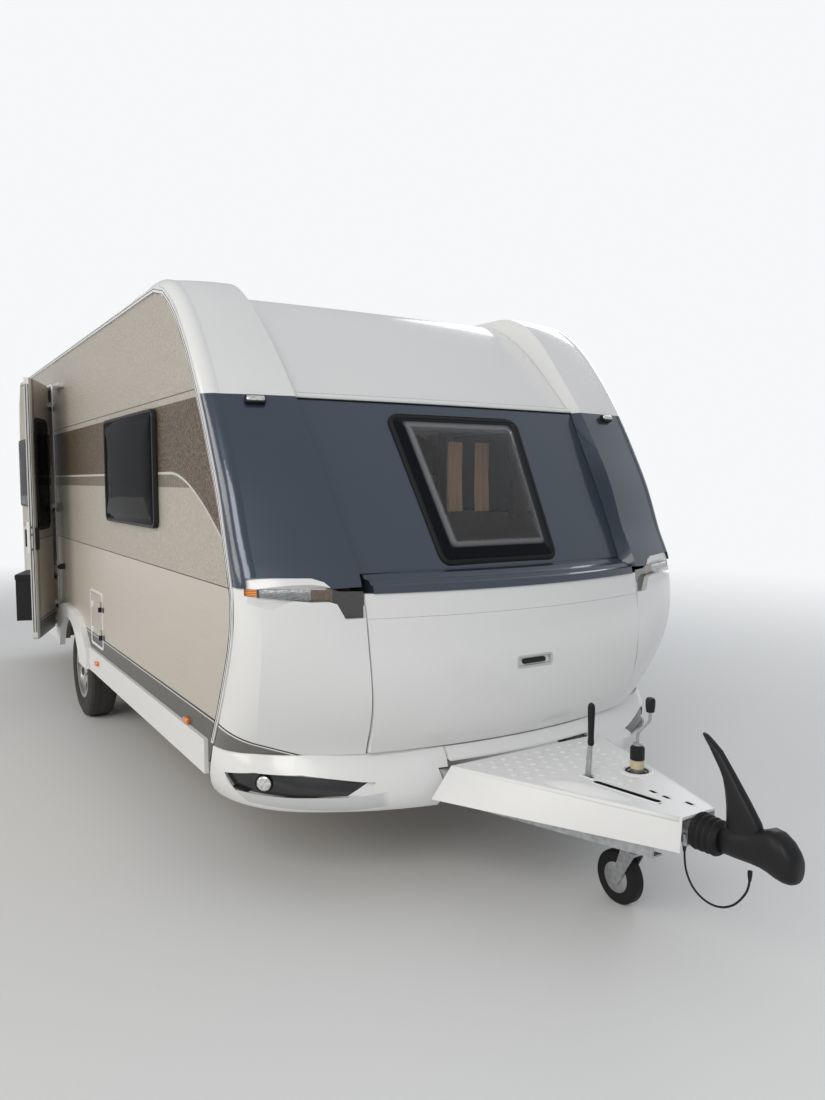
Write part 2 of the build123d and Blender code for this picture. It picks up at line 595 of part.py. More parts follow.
# Drawbar
COVER = [  # x, half width at the top and bottom, z of the top and bottom
    (COVER_REAR, 396, 488, 536, 420),
    (COVER_NOSE, 80, 88, 556, 440)]
COVER_SKIN = 8


def drawbar_wedge(skin):
    """The wedge over the drawbar's A, or the hollow that leaves a skin of this thickness."""
    ends = []
    for (x, top, bottom, z_top, z_bottom), past in zip(COVER, (-20, 20)):
        x_end = x + past * (skin > 0)
        low = z_bottom - 20 * (skin > 0)
        ends.append(make_face(Polyline([(x_end, skin - bottom, low), (x_end, bottom - skin, low),
                                        (x_end, top - skin, z_top - skin), (x_end, skin - top, z_top - skin)],
                                       close=True)))
    return loft(ends, ruled=True)


cover = drawbar_wedge(0) - drawbar_wedge(COVER_SKIN)
for x in (3650, 4150):
    for side in (-1, 1):
        boss = box(x - 12, x + 12, side * rail_y(x) - 12, side * rail_y(x) + 12, RAIL_TOP, 600)
        cover += boss & drawbar_wedge(0)
cover -= Pos(JOCKEY_X, JOCKEY_Y, 540) * Cylinder(38, 80)
cover -= box(4010, 4270, -46, -32, 500, 600)
cover -= box(3900, 3960, -58, -20, 500, 600)
add("drawbar_cover", cover)

# Overrun device, bellows and coupling
SHAFT_R = 25
HOUSING_R = 34
BRACKET_X = COVER_NOSE - 215
HEAD_REAR = BALL_X - 113
CORD_REAR_X = COVER_NOSE - 33      # the cable's ferrule on the housing
CORD_HEAD_X = HEAD_REAR + 10       # and the one on the coupling head
housing = rod((3900, 0, SHAFT_Z), (COVER_NOSE - 10, 0, SHAFT_Z), HOUSING_R)
bracket_half = rail_y(BRACKET_X + 30) - RAIL_WIDTH / 2 - 2 - WELD
housing += box(BRACKET_X - 30, BRACKET_X + 30, -bracket_half, bracket_half, RAIL_BOTTOM, SHAFT_Z)
housing += rod((COVER_NOSE - 15, 0, SHAFT_Z), (HEAD_REAR - WELD, 0, SHAFT_Z), SHAFT_R)
housing += rod((CORD_REAR_X, -26, CORD_TOP), (CORD_REAR_X, -26, SHAFT_Z - 20), 8)
add("overrun_housing", housing)
BELLOWS_X = COVER_NOSE + 3
bellow = [(BELLOWS_X + i * 12, 50 if i % 2 else 64) for i in range(11)]
inner_line = SHAFT_Z + SHAFT_R + WELD
bellow_face = make_face(Polyline([(x, 0, SHAFT_Z + r) for x, r in bellow]
                                 + [(bellow[-1][0], 0, inner_line), (bellow[0][0], 0, inner_line)], close=True))
add("bellows", revolve(bellow_face, Axis((0, 0, SHAFT_Z), (1, 0, 0)), 360))

HANDLE_BOTTOM = 582
SOCKET_R = BALL_R + SOCKET_CLEARANCE
head = rod((BALL_X, 0, BALL_Z - 24), (BALL_X, 0, BALL_Z + 38), 46)
head += box(HEAD_REAR, BALL_X, -38, 38, BALL_Z - 20, BALL_Z + 50)
head += box(HEAD_REAR, BALL_X - 35, -30, 30, BALL_Z + 48, HANDLE_BOTTOM - WELD)
head += rod((CORD_HEAD_X, -26, CORD_TOP), (CORD_HEAD_X, -26, BALL_Z), 8)
head -= rod((BALL_X, 0, BALL_Z - 30), (BALL_X, 0, BALL_Z + SOCKET_STRAIGHT), SOCKET_R)
head -= Pos(BALL_X, 0, BALL_Z + SOCKET_STRAIGHT) * Sphere(SOCKET_R)
add("coupling_head", head)
HANDLE = [(-105, HANDLE_BOTTOM), (-37, HANDLE_BOTTOM), (-25, 620), (-105, 668), (-275, 822), (-310, 828),
          (-317, 812), (-155, 640)]
handle = plate_xz([(BALL_X + x, z) for x, z in HANDLE], -26, 26)
add("coupling_handle", handle)

lever_y = -(HOUSING_R + WELD + 4)
lever = box(3917, 3943, lever_y - 4, lever_y + 4, 480, 668)
lever += rod((3930, lever_y, 664), (3930, lever_y, 826), 15)
add("handbrake_lever", lever)

# Jockey wheel
JOCKEY_TUBE_BOTTOM = 260
JOCKEY_TUBE_TOP = 640
JOCKEY_BORE_R = 20
clamp_r = (rail_y(JOCKEY_X) - RAIL_WIDTH / 2 - 2 - JOCKEY_Y) * cos(atan(RAIL_SLOPE)) - WELD
clamp = Pos(JOCKEY_X, JOCKEY_Y, RAIL_BOTTOM + 50) * (Cylinder(clamp_r, 120)
                                                      - Cylinder(JOCKEY_TUBE_R + WELD, 140))
add("jockey_clamp", clamp)
tube = rod((JOCKEY_X, JOCKEY_Y, JOCKEY_TUBE_BOTTOM), (JOCKEY_X, JOCKEY_Y, JOCKEY_TUBE_TOP), JOCKEY_TUBE_R)
tube -= rod((JOCKEY_X, JOCKEY_Y, JOCKEY_TUBE_BOTTOM - 5), (JOCKEY_X, JOCKEY_Y, JOCKEY_TUBE_TOP - 20),
            JOCKEY_BORE_R)
add("jockey_tube", tube)
crank = rod((JOCKEY_X, JOCKEY_Y, JOCKEY_TUBE_TOP + WELD), (JOCKEY_X, JOCKEY_Y, 700), 8)
crank += rod((JOCKEY_X, JOCKEY_Y, 696), (JOCKEY_X + 40, JOCKEY_Y, 760), 7)
crank += rod((JOCKEY_X + 38, JOCKEY_Y, 752), (JOCKEY_X + 38, JOCKEY_Y, 790), 7)
crank += rod((JOCKEY_X + 38, JOCKEY_Y, 780), (JOCKEY_X + 38, JOCKEY_Y, 838), 14)
add("jockey_crank", crank)
fork_half = JOCKEY_WHEEL_WIDTH / 2 + 3
inner_tube = rod((JOCKEY_X, JOCKEY_Y, 232), (JOCKEY_X, JOCKEY_Y, 600), JOCKEY_BORE_R - 0.5)
fork = inner_tube + box(JOCKEY_X - 45, JOCKEY_X + 25, JOCKEY_Y - fork_half - 5, JOCKEY_Y + fork_half + 5,
                        224, 234)
wheel_x = JOCKEY_X - JOCKEY_TRAIL
for side in (-1, 1):
    y0, y1 = sorted((JOCKEY_Y + side * fork_half, JOCKEY_Y + side * (fork_half + 5)))
    fork += plate_xz([(JOCKEY_X - 45, 230), (JOCKEY_X + 25, 230), (wheel_x + 20, JOCKEY_WHEEL_R - 20),
                      (wheel_x - 20, JOCKEY_WHEEL_R - 20)], y0, y1)
fork += rod((wheel_x, JOCKEY_Y - fork_half - 4, JOCKEY_WHEEL_R),
            (wheel_x, JOCKEY_Y + fork_half + 4, JOCKEY_WHEEL_R), 6)
add("jockey_fork", fork)
jockey = Pos(wheel_x, JOCKEY_Y, JOCKEY_WHEEL_R) * Rot(90, 0, 0) * (Cylinder(JOCKEY_WHEEL_R, JOCKEY_WHEEL_WIDTH)
                                                                  - Cylinder(6.4, 80))
jockey = fillet(jockey.edges().filter_by(lambda e: e.length > 500), 12)
add("jockey_wheel", jockey)

# Bumper
BUMPER = [  # z, then x, inward of the wheel end, its middle, the corner, the face's middle, the inner end
    (585, 2946, -2, 3130, 98, 3240, 225, 3352, 482, 3441, 778),
    (515, 2928, -6, 3150, 78, 3272, 205, 3400, 470, 3486, 772),
    (440, 2900, 0, 3150, 78, 3290, 205, 3430, 470, 3508, 750),
    (372, 2860, 30, 3130, 100, 3270, 225, 3415, 485, 3490, 720)]


RAIL_NOTCH = 5                     # room around a rail where it passes through the bumper


RECESS_DEPTH = 0.55    # as a share of the bumper's thickness
RECESS = [  # distance along the bumper's chord and z of the recess for the fog lamp
    (90, 497), (230, 520), (420, 516), (600, 494), (700, 486), (690, 470), (640, 436), (420, 438), (210, 436),
    (130, 448)]


def bumper_loft(side, front, back):
    """The side part of the bumper between two depths, as shares of its thickness."""
    sections = []
    for z, *row in BUMPER:
        face = [Vector(x, side * inward(y), z) for x, y in zip(row[::2], row[1::2])]
        into = [Vector(dx, side * dy, 0) for dx, dy in zip((0, 22, 24, 26, 28), (26, 24, 16, 8, 0))]
        pts = [point - step * front for point, step in zip(face, into)]
        rear = [point - step * back for point, step in zip(face, into)]
        edges = [ThreePointArc(*pts[:3]).edge(), ThreePointArc(*pts[2:]).edge(), Line(pts[4], rear[4]).edge(),
                 ThreePointArc(*rear[:1:-1]).edge(), ThreePointArc(*rear[2::-1]).edge(), Line(rear[0], pts[0]).edge()]
        sections.append(make_face(Wire(edges)))
    return loft(sections)


def bumper_side(side):
    """A side part with its recess and its notch for the rail."""
    foot = Vector(BUMPER[2][1], side * inward(BUMPER[2][2]), 0)
    chord = Vector(BUMPER[2][9], side * inward(BUMPER[2][10]), 0) - foot
    run = chord.normalized()
    out = Vector(side * -run.Y, side * run.X, 0)
    outline = [foot + run * along + out * 300 + Vector(0, 0, z) for along, z in RECESS]
    slot = extrude(make_face(Polyline(*outline, close=True)), amount=500, dir=-out)
    shape = bumper_loft(side, 0, 1) - (slot - bumper_loft(side, RECESS_DEPTH, 3))
    beside = RAIL_WIDTH / 2 + RAIL_NOTCH
    notch = [(RAIL_BEND, 0), (RAIL_BEND, RAIL_Y + beside), (COVER_REAR, rail_y(COVER_REAR) + beside), (COVER_REAR, 0)]
    return shape - plate_xy([(x, side * y) for x, y in notch], 300, RAIL_TOP + RAIL_NOTCH)


centre_band = turned([(3476, 585), (3520, 545), (3522, 538), (FLOOR_FRONT + WELD, 538),
                      (FLOOR_FRONT + WELD, 585)], LID_AXIS_X, 12)
centre_band &= box(3000, 3700, -inward(782), inward(782), 500, 600)
add("front_bumper", bumper_side(-1), bumper_side(1), centre_band)

# Sills and wheel-arch trims
def sill(side, x0, x1, top):
    y0, y1 = sorted((side * (HALF_WIDTH + WELD), side * (HALF_WIDTH + 18)))
    return box(x0, x1, y0, y1, 452, top)


def arch_trim(side):
    y0, y1 = sorted((side * (HALF_WIDTH + WELD), side * (HALF_WIDTH + 38)))
    outline = [(-440, 452), (-440, 600), (-400, 690), (-320, 752), (-200, 780), (160, 780), (330, 752), (450, 690),
               (560, 600), (600, 590), (600, 452)]
    trim = plate_xz(outline, y0, y1)
    return trim - Pos(0, side * HALF_WIDTH, WHEEL_R) * Rot(90, 0, 0) * Cylinder(ARCH_R + 2, 200)


right_sills = [sill(-1, 602, 2880, 595), sill(-1, DOOR_FRONT, -442, 595), sill(-1, DOOR_REAR, DOOR_FRONT - 1, 552),
               sill(-1, REAR_SEAM_X, DOOR_REAR - 1, 595)]
left_sills = [sill(1, 602, 2880, 595), sill(1, REAR_SEAM_X, -442, 595)]
add("side_sills", *right_sills, *left_sills)
add("arch_trims", arch_trim(-1), arch_trim(1))

RAIL_BAND = 24


# Edge rails along the top and the front seam of each wall
def edge_rail(side):
    y0, y1 = sorted((side * (HALF_WIDTH + WELD), side * (HALF_WIDTH + 6)))
    band = plate_xz(wall_outline(), y0, y1)
    band -= plate_xz(wall_outline(RAIL_BAND), y0 - 1, y1 + 1)
    return band - box(-3000, 3500, y0 - 1, y1 + 1, 400, 596)


add("edge_rails", edge_rail(-1), edge_rail(1))

# Windows
panes = []
for side, x0, x1, z0, z1 in WINDOWS_SIDE:
    pane = side_plate(side, x0 - PANE_LAP, x1 + PANE_LAP, z0 - PANE_LAP, z1 + PANE_LAP, CORNER_R,
                      HALF_WIDTH + WELD, PANE_THICK)
    rim = pane.faces().sort_by(Axis.Y)[0 if side < 0 else -1].edges()
    panes.append(fillet(rim, 12))
add("side_windows", *panes)

pane_front = plate_yz([(-340, rise(1300)), (340, rise(1300)), (392, rise(1972)), (-392, rise(1972))], 2800, 3500)
pane_front = fillet(pane_front.edges().filter_by(Axis.X), 65)
glass_band = turned([(2985, rise(1978)), (3206, rise(1612)), (3384, rise(1295)), (3348.6, rise(1295)),
                     (3170.8, rise(1600)), (2947.2, rise(1978))], UPPER_AXIS_X, 3)
add("front_window", glass_band & pane_front)

rear_pane = box(REAR_X - 24, REAR_X - WELD, -REAR_WINDOW[0] - PANE_LAP, REAR_WINDOW[0] + PANE_LAP,
                REAR_WINDOW[1] - PANE_LAP, REAR_WINDOW[2] + PANE_LAP)
add("rear_window", fillet(rear_pane.edges().filter_by(Axis.X), CORNER_R))

# Hinges of the door and the flap: a leaf and pin on the wall, a knuckle on what swings
PIN_R = 4.7
KNUCKLE_R = 9
KNUCKLE = 30                       # height of each knuckle


def wall_leaf(x, z):
    """The half that is screwed to the right wall, ahead of the hinge line at x."""
    y_pin = -HALF_WIDTH - HINGE_OUT
    leaf = box(x + DOOR_GAP + 2, x + 46, -HALF_WIDTH - 3, -HALF_WIDTH - WELD, z, z + KNUCKLE)
    arm = box(x, x + DOOR_GAP + 6, y_pin, -HALF_WIDTH - WELD, z, z + KNUCKLE)
    pin = rod((x, y_pin, z + 1), (x, y_pin, z + 2 * KNUCKLE), PIN_R)
    return leaf + arm + rod((x, y_pin, z), (x, y_pin, z + KNUCKLE), KNUCKLE_R) + pin


def moving_knuckle(x, z):
    """The half on the door or the flap, behind the hinge line at x."""
    y_pin = -HALF_WIDTH - HINGE_OUT
    low, high = z + KNUCKLE + 0.5, z + 2 * KNUCKLE
    half = box(x - 46, x - 6, -HALF_WIDTH - 3, -HALF_WIDTH + 1, low, high)
    half += box(x - KNUCKLE_R, x, y_pin, -HALF_WIDTH, low, high)
    half += rod((x, y_pin, low), (x, y_pin, high), KNUCKLE_R)
    return half - rod((x, y_pin, low - 1), (x, y_pin, high + 1), PIN_R + WELD)


DOOR_HINGE_Z = (DOOR_BOTTOM + 135, (DOOR_BOTTOM + DOOR_TOP) / 2 - 31.5, DOOR_TOP - 178)
FLAP_HINGE_Z = (690, 860)
FLAP_HINGE_X = FLAP[1] - DOOR_GAP
leaves = [wall_leaf(DOOR_FRONT, z) for z in DOOR_HINGE_Z] + [wall_leaf(FLAP_HINGE_X, z) for z in FLAP_HINGE_Z]
add("hinge_leaves", *leaves)

# Entrance door, drawn shut and then swung open about its hinge line
hinge_line = Axis((DOOR_FRONT, -HALF_WIDTH - HINGE_OUT, 0), (0, 0, 1))
door = box(DOOR_REAR, DOOR_FRONT, -HALF_WIDTH, -HALF_WIDTH + WALL, DOOR_BOTTOM, DOOR_TOP)
door = fillet(door.edges().filter_by(Axis.Y), 40)
for z in DOOR_HINGE_Z:
    door += moving_knuckle(DOOR_FRONT, z)
DOOR_GLASS = (DOOR_REAR + 130, DOOR_FRONT - 140, DOOR_TOP - 1008, DOOR_TOP - 278)    # x and z, from and to
x0, x1, z0, z1 = DOOR_GLASS
door -= side_plate(-1, x0, x1, z0, z1, 40, HALF_WIDTH - WALL - 10, WALL + 20)
door_pane = side_plate(-1, x0 - PANE_LAP, x1 + PANE_LAP, z0 - PANE_LAP, z1 + PANE_LAP, 50, HALF_WIDTH + WELD, 10)
door_bin = box(x0 + 10, x1 + 10, -HALF_WIDTH + WALL + WELD, -HALF_WIDTH + WALL + 130, 680, 1000)
door_handle = side_plate(-1, DOOR_REAR + 30, DOOR_REAR + 90, 1180, 1330, 12, HALF_WIDTH + WELD, 14)


def swung(shape):
    return shape.rotate(hinge_line, DOOR_OPEN)


add("door_panel", swung(door))
add("door_window", swung(door_pane))
add("door_bin", swung(door_bin))
add("door_handle", swung(door_handle))

# Service flap in the right wall
x0, x1, z0, z1 = FLAP
flap = side_plate(-1, x0 + DOOR_GAP, x1 - DOOR_GAP, z0 + DOOR_GAP, z1 - DOOR_GAP, 10, HALF_WIDTH - WALL, WALL)
for z in FLAP_HINGE_Z:
    flap += moving_knuckle(FLAP_HINGE_X, z)
add("service_flap", flap)

# Lamps
add("front_lamps", *[lamp(side) for side in (-1, 1)])

BUMPER_DEPTH = 80
rear_x = REAR_X - BUMPER_DEPTH
rear_bumper = box(rear_x, REAR_X - WELD, -inward(50), inward(50), 400, 620)
rear_bumper = fillet(rear_bumper.edges().filter_by(Axis.Z).sort_by(Axis.X)[:2], 0.625 * BUMPER_DEPTH)
add("rear_bumper", rear_bumper)
add("rear_lamps", *[box(rear_x - 12, rear_x - WELD, *sorted((side * inward(510), side * inward(110))), 470, 560)
                    for side in (-1, 1)])
add("roof_hatches", *[box(x - w, x + w, -w, w, ROOF_TOP + WELD, ROOF_TOP + 60)
                      for x, w in ((1200, 350), (-900, 250))])
add("awning_light", side_plate(-1, -330, -70, ROOF_TOP - 240, ROOF_TOP - 200, 15, HALF_WIDTH + WELD, 30))

# Plain furniture that shows through the windows and the door
FURNITURE_HALF = inward(70)
add("rear_bed", box(REAR_X + 160, REAR_X + 1120, -FURNITURE_HALF, FURNITURE_HALF, FLOOR_TOP + WELD, 1000))
add("kitchen_block", box(-1150, 300, inward(590), inward(50), FLOOR_TOP + WELD, 1440)
    - box(-ARCH_R - 10, ARCH_R + 10, HOUSING_Y - 10, inward(-50), FLOOR_TOP - 50, HOUSING_TOP + 10))
add("front_seats", box(1200, 2780, -FURNITURE_HALF, FURNITURE_HALF, FLOOR_TOP + WELD, 990)
    - box(1150, 2100, -inward(770), inward(770), FLOOR_TOP - 50, 1100))


# Breakaway cable: a loop that hangs between the overrun housing and the coupling head
loop = [(16, -34, 354), (52, -41, 315), (104, -45, 296), (156, -44, 298), (202, -40, 322), (234, -34, 362)]
CORD = ([(CORD_REAR_X, -26, CORD_TOP), (CORD_REAR_X, -26, 400)] + [(CORD_REAR_X + x, y, z) for x, y, z in loop]
        + [(CORD_HEAD_X, -26, 402), (CORD_HEAD_X, -26, CORD_TOP)])


def cord_tube(points, radius):
    """Straight runs joined by tangent arcs, each as large as its two runs allow."""
    runs = [Vector(*b) - Vector(*a) for a, b in zip(points, points[1:])]
    radii = [0.45 * min(a.length, b.length) / tan(radians(a.get_angle(b) / 2)) for a, b in zip(runs, runs[1:])]
    path = FilletPolyline(*points, radius=radii)
    return sweep(Plane(origin=points[0], z_dir=runs[0]) * Circle(radius), path=path)


add("breakaway_cable", cord_tube(CORD, CORD_R))


def write_parts():
    os.makedirs("parts", exist_ok=True)
    shift = Location((-BALL_X, 0, -BALL_Z))
    for name, shape in parts.items():
        export_step(shape.moved(shift), "parts/" + name + ".step")


write_parts()
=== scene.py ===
"""Travel caravan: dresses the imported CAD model. Metres, in the CAD's own frame."""
import math
import bmesh
import bpy
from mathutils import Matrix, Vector


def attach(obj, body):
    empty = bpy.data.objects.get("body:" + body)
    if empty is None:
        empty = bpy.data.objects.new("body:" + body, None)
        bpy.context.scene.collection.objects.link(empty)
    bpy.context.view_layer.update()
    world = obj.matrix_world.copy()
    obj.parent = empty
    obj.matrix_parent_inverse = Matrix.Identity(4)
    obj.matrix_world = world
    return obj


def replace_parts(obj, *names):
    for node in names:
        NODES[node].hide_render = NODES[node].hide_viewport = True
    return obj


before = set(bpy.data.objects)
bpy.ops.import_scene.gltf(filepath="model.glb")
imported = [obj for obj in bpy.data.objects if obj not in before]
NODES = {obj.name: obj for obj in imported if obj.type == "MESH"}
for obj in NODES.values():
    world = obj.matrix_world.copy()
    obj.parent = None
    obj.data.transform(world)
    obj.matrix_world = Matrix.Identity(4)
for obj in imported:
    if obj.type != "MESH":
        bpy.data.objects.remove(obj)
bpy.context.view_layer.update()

AXLE_TO_BALL = Vector((4.715, 0, 0.487))     # from the road under the axle to the ball's centre
HALF = 1.15                                  # outer face of a side wall
WHEEL_Z = 0.325                              # centre of the road wheels
NOSE_RADIUS = 8.7                            # of the front panels, seen from above
PANE_FOOT = 1.325                            # the front window widens by PANE_SPREAD a metre above here
PANE_SPREAD = 0.0843
DOOR_TURN = math.radians(160)                # how far the entrance door stands open
DOOR_PIN = (-0.55, -1.165)
SIDE_PANES = [                               # side, then x from and to and z from and to of the opening
    ("right_front", -1, 1.24, 2.21, 1.445, 1.96), ("right_rear", -1, -2.26, -1.64, 1.445, 1.99),
    ("left_front", 1, 1.24, 2.21, 1.445, 1.96), ("left_rear", 1, -2.06, -1.09, 1.445, 1.96),
    ("left_middle", 1, -0.33, 0.37, 1.50, 1.96)]


def at(x, y, z):
    """A point measured from the road under the axle, in the frame of the CAD."""
    return Vector((x, y, z)) - AXLE_TO_BALL


def linked(name, data):
    obj = bpy.data.objects.new(name, data)
    bpy.context.collection.objects.link(obj)
    return obj


# Materials
class Out:
    """A node's output that can be reckoned with."""

    def __init__(self, mat, socket):
        self.mat, self.socket = mat, socket

    def op(self, kind, other=None, clamp=False):
        return self.mat.math(kind, self, other, clamp)

    def __add__(self, other):
        return self.op("ADD", other)

    def __sub__(self, other):
        return self.op("SUBTRACT", other)

    def __rsub__(self, other):
        return self.mat.math("SUBTRACT", other, self)

    def __mul__(self, other):
        return self.op("MULTIPLY", other)

    def __truediv__(self, other):
        return self.op("DIVIDE", other)

    def over(self, edge, soft=0.001):
        """0 below the edge and 1 above it."""
        return ((self - edge) / soft + 0.5).op("ADD", 0, clamp=True)

    def within(self, low, high, soft=0.001):
        return self.over(low, soft) * self.over(high, soft).flip()

    def flip(self):
        return 1 - self


class Mat:
    """A procedural material. It measures its places from the road under the axle."""

    def __init__(self, name, color, rough, slot=None, **more):
        self.made = bpy.data.materials.new(name)
        self.made.use_nodes = True
        self.tree = self.made.node_tree
        self.shader = self.tree.nodes["Principled BSDF"]
        self.slot = slot
        self.set("Base Color", color)
        self.set("Roughness", rough)
        for key, value in more.items():
            self.set(key.replace("_", " "), value)
        coords = self.new("ShaderNodeTexCoord")
        shift = self.new("ShaderNodeVectorMath", operation="ADD")
        self.link(coords.outputs["Object"], shift.inputs[0])
        shift.inputs[1].default_value = AXLE_TO_BALL
        self.point = shift.outputs[0]
        split = self.new("ShaderNodeSeparateXYZ")
        self.link(self.point, split.inputs[0])
        self.x, self.y, self.z = (Out(self, split.outputs[i]) for i in range(3))

    def new(self, kind, **settings):
        node = self.tree.nodes.new(kind)
        for key, value in settings.items():
            setattr(node, key, value)
        return node

    def link(self, a, b):
        self.tree.links.new(a.socket if isinstance(a, Out) else a, b)

    def feed(self, socket, value):
        if value is None:
            return
        if isinstance(value, (Out, bpy.types.NodeSocket)):
            self.link(value, socket)
        elif hasattr(value, "__len__") and socket.type == "RGBA":
            socket.default_value = (*value[:3], 1)
        else:
            socket.default_value = value

    def set(self, key, value):
        self.feed(self.shader.inputs[key], value)

    def math(self, kind, a, b=None, clamp=False):
        node = self.new("ShaderNodeMath", operation=kind, use_clamp=clamp)
        for socket, value in zip(node.inputs, (a, b)):
            self.feed(socket, value)
        return Out(self, node.outputs[0])

    def mix(self, share, a, b):
        node = self.new("ShaderNodeMix", data_type="RGBA")
        self.feed(node.inputs[0], share)
        self.feed(node.inputs[6], a)
        self.feed(node.inputs[7], b)
        return node.outputs[2]

    def noise(self, scale, detail=2.0, stretch=None):
        node = self.new("ShaderNodeTexNoise")
        node.inputs["Scale"].default_value = scale
        node.inputs["Detail"].default_value = detail
        self.link(self.stretched(stretch), node.inputs["Vector"])
        return Out(self, node.outputs["Fac"])

    def cells(self, scale):
        node = self.new("ShaderNodeTexVoronoi")
        node.inputs["Scale"].default_value = scale
        self.link(self.point, node.inputs["Vector"])
        return Out(self, node.outputs["Distance"])

    def stretched(self, by):
        if by is None:
            return self.point
        node = self.new("ShaderNodeVectorMath", operation="MULTIPLY")
        self.link(self.point, node.inputs[0])
        node.inputs[1].default_value = by
        return node.outputs[0]

    def bump(self, height, distance, strength):
        node = self.new("ShaderNodeBump")
        node.inputs["Strength"].default_value = strength
        node.inputs["Distance"].default_value = distance
        self.feed(node.inputs["Height"], height)
        self.link(node.outputs[0], self.shader.inputs["Normal"])

    def grime(self, color, top=0.62, share=0.35):
        """Road dust that fades out upwards."""
        low = ((top - self.z) / top).op("MULTIPLY", share, clamp=True)
        return self.mix(low * self.noise(9, 4), color, (0.16, 0.14, 0.115))

    def pattern(self, kind, *values):
        return self.cells(*values) if kind == "cells" else self.noise(*values)


def finish(name, color, rough, slot, relief, distance, strength, tones=None, **more):
    """A material with a bump from one pattern, and tones: another pattern and the two colours it mixes."""
    mat = Mat(name, color, rough, slot, **more)
    if tones:
        mat.set("Base Color", mat.mix(mat.pattern(*tones[0]), *tones[1:]))
    mat.bump(mat.pattern(*relief), distance, strength)
    return mat


def gelcoat(name):
    return finish(name, WHITE, 0.24, "gelcoat_white", ("noise", 7, 3), 0.0012, 0.35, Coat_Weight=0.5,
                  Coat_Roughness=0.08)


WHITE = (0.80, 0.80, 0.785)
SILVER = (0.60, 0.565, 0.51)
DARK = (0.045, 0.062, 0.088)
BROWN = (0.085, 0.060, 0.038)
SKIRT = (0.135, 0.13, 0.12)                  # the dark band along the foot of the walls
INK = (0.012, 0.012, 0.012)
BLACK = (0.012, 0.012, 0.013)

white = gelcoat("gelcoat")
white.set("Base Color", white.grime(WHITE))

# Side walls: bands of colour between thin lines, smooth below the waist line
SKIRT_BAND = (0.40, 0.682)
WAIST = 1.244
TAUPE_FROM = 1.618
BROWN_TO = 1.984
WALL_LINES = [                               # z from, z to, colour
    (0.681, 0.687, (0.72, 0.71, 0.68)), (0.6875, 0.6965, INK), (1.2420, 1.2465, (0.06, 0.05, 0.045)),
    (2.013, 2.0175, (0.10, 0.075, 0.06))]
DOOR_RIM = -0.50                             # along the shut door: white from here to its free edge
DOOR_FACE = 0.0465                           # across it: the lining begins here


def door_shut(mat):
    """Distances from the hinge line along and across the door, as it is when shut."""
    dx, dy = mat.x - DOOR_PIN[0], mat.y - DOOR_PIN[1]
    cos, sin = math.cos(DOOR_TURN), math.sin(DOOR_TURN)
    return dx * cos + dy * sin, dy * cos - dx * sin


def wall_material(name, lining=False):
    """The wall's sheet. With lining it is the door's, which is white inside and along its free edge."""
    mat = Mat(name, SILVER, 0.38, "wall_silver", Metallic=0.35)
    z = mat.z
    ahead = (mat.x - 2.42).op("MAXIMUM", 0)
    above_stripe = z - (1.681 - ahead * ahead * 0.8 / (ahead * 0.6 + 1))
    over_stripe = above_stripe.over(0)
    pebble = mat.cells(78)
    speck = mat.noise(150, 1)
    base = mat.mix(pebble * 0.9, (0.44, 0.40, 0.335), (0.60, 0.555, 0.475))
    smooth = mat.mix(mat.noise(60, 2, (0.05, 1, 3.2)), (0.56, 0.515, 0.445), (0.66, 0.61, 0.53))
    brown = mat.mix(speck.over(0.56, 0.16), BROWN, (0.25, 0.18, 0.115))
    taupe = mat.mix(speck.over(0.56, 0.2), (0.19, 0.158, 0.12), (0.32, 0.27, 0.205))
    below_waist = z.over(WAIST).flip()
    skirt = z.within(*SKIRT_BAND)
    color = mat.mix(below_waist, base, smooth)
    color = mat.mix(z.over(TAUPE_FROM) * over_stripe.flip(), color, taupe)
    color = mat.mix(over_stripe * z.over(BROWN_TO).flip(), color, brown)
    color = mat.mix(above_stripe.within(-0.006, 0.006), color, (0.66, 0.64, 0.60))
    color = mat.mix(skirt, color, SKIRT)
    for low, high, tone in WALL_LINES:
        color = mat.mix(z.within(low, high), color, tone)
    plain = (skirt + below_waist).op("MINIMUM", 1)
    if lining:
        along, across = door_shut(mat)
        inside = across.over(DOOR_FACE)
        bare = (inside + along.over(DOOR_RIM).flip()).op("MINIMUM", 1)
        color = mat.mix(bare, color, mat.mix(mat.noise(8, 3), (0.70, 0.695, 0.67), (0.75, 0.745, 0.72)))
        seals = (along.within(-0.525, -0.505) + along.within(-0.490, -0.476)) * inside.flip()
        color = mat.mix(seals, color, BLACK)
        plain = (plain + bare).op("MINIMUM", 1)
        mat.set("Metallic", bare.flip() * 0.35)
    mat.set("Base Color", color)
    mat.bump((pebble + mat.noise(130, 2) * 0.5) * (1 - plain * 0.93), 0.0036, 0.9)
    return mat


wall_right = wall_material("wall_sheet")
wall_door = wall_material("door_sheet", lining=True)

dark = Mat("dark_lacquer", DARK, 0.30, "dark_front", Metallic=0.45, Coat_Weight=1.0, Coat_Roughness=0.05)
flakes = dark.noise(900, 1).over(0.5, 0.3)
dark.set("Base Color", dark.mix(flakes, (0.042, 0.058, 0.082), (0.055, 0.075, 0.105)))
dark.bump(dark.noise(5, 2), 0.002, 0.4)

# Upper corner mouldings: white, then dark from the colour line down
pillar = Mat("pillar_paint", WHITE, 0.26, "gelcoat_white", Coat_Weight=0.8, Coat_Roughness=0.05)
pillar_dark = pillar.z.over(1.992).flip()
pillar.set("Base Color", pillar.mix(pillar_dark, WHITE, DARK))
pillar.set("Metallic", pillar_dark * 0.45)
pillar.bump(pillar.noise(6, 2), 0.0015, 0.4)

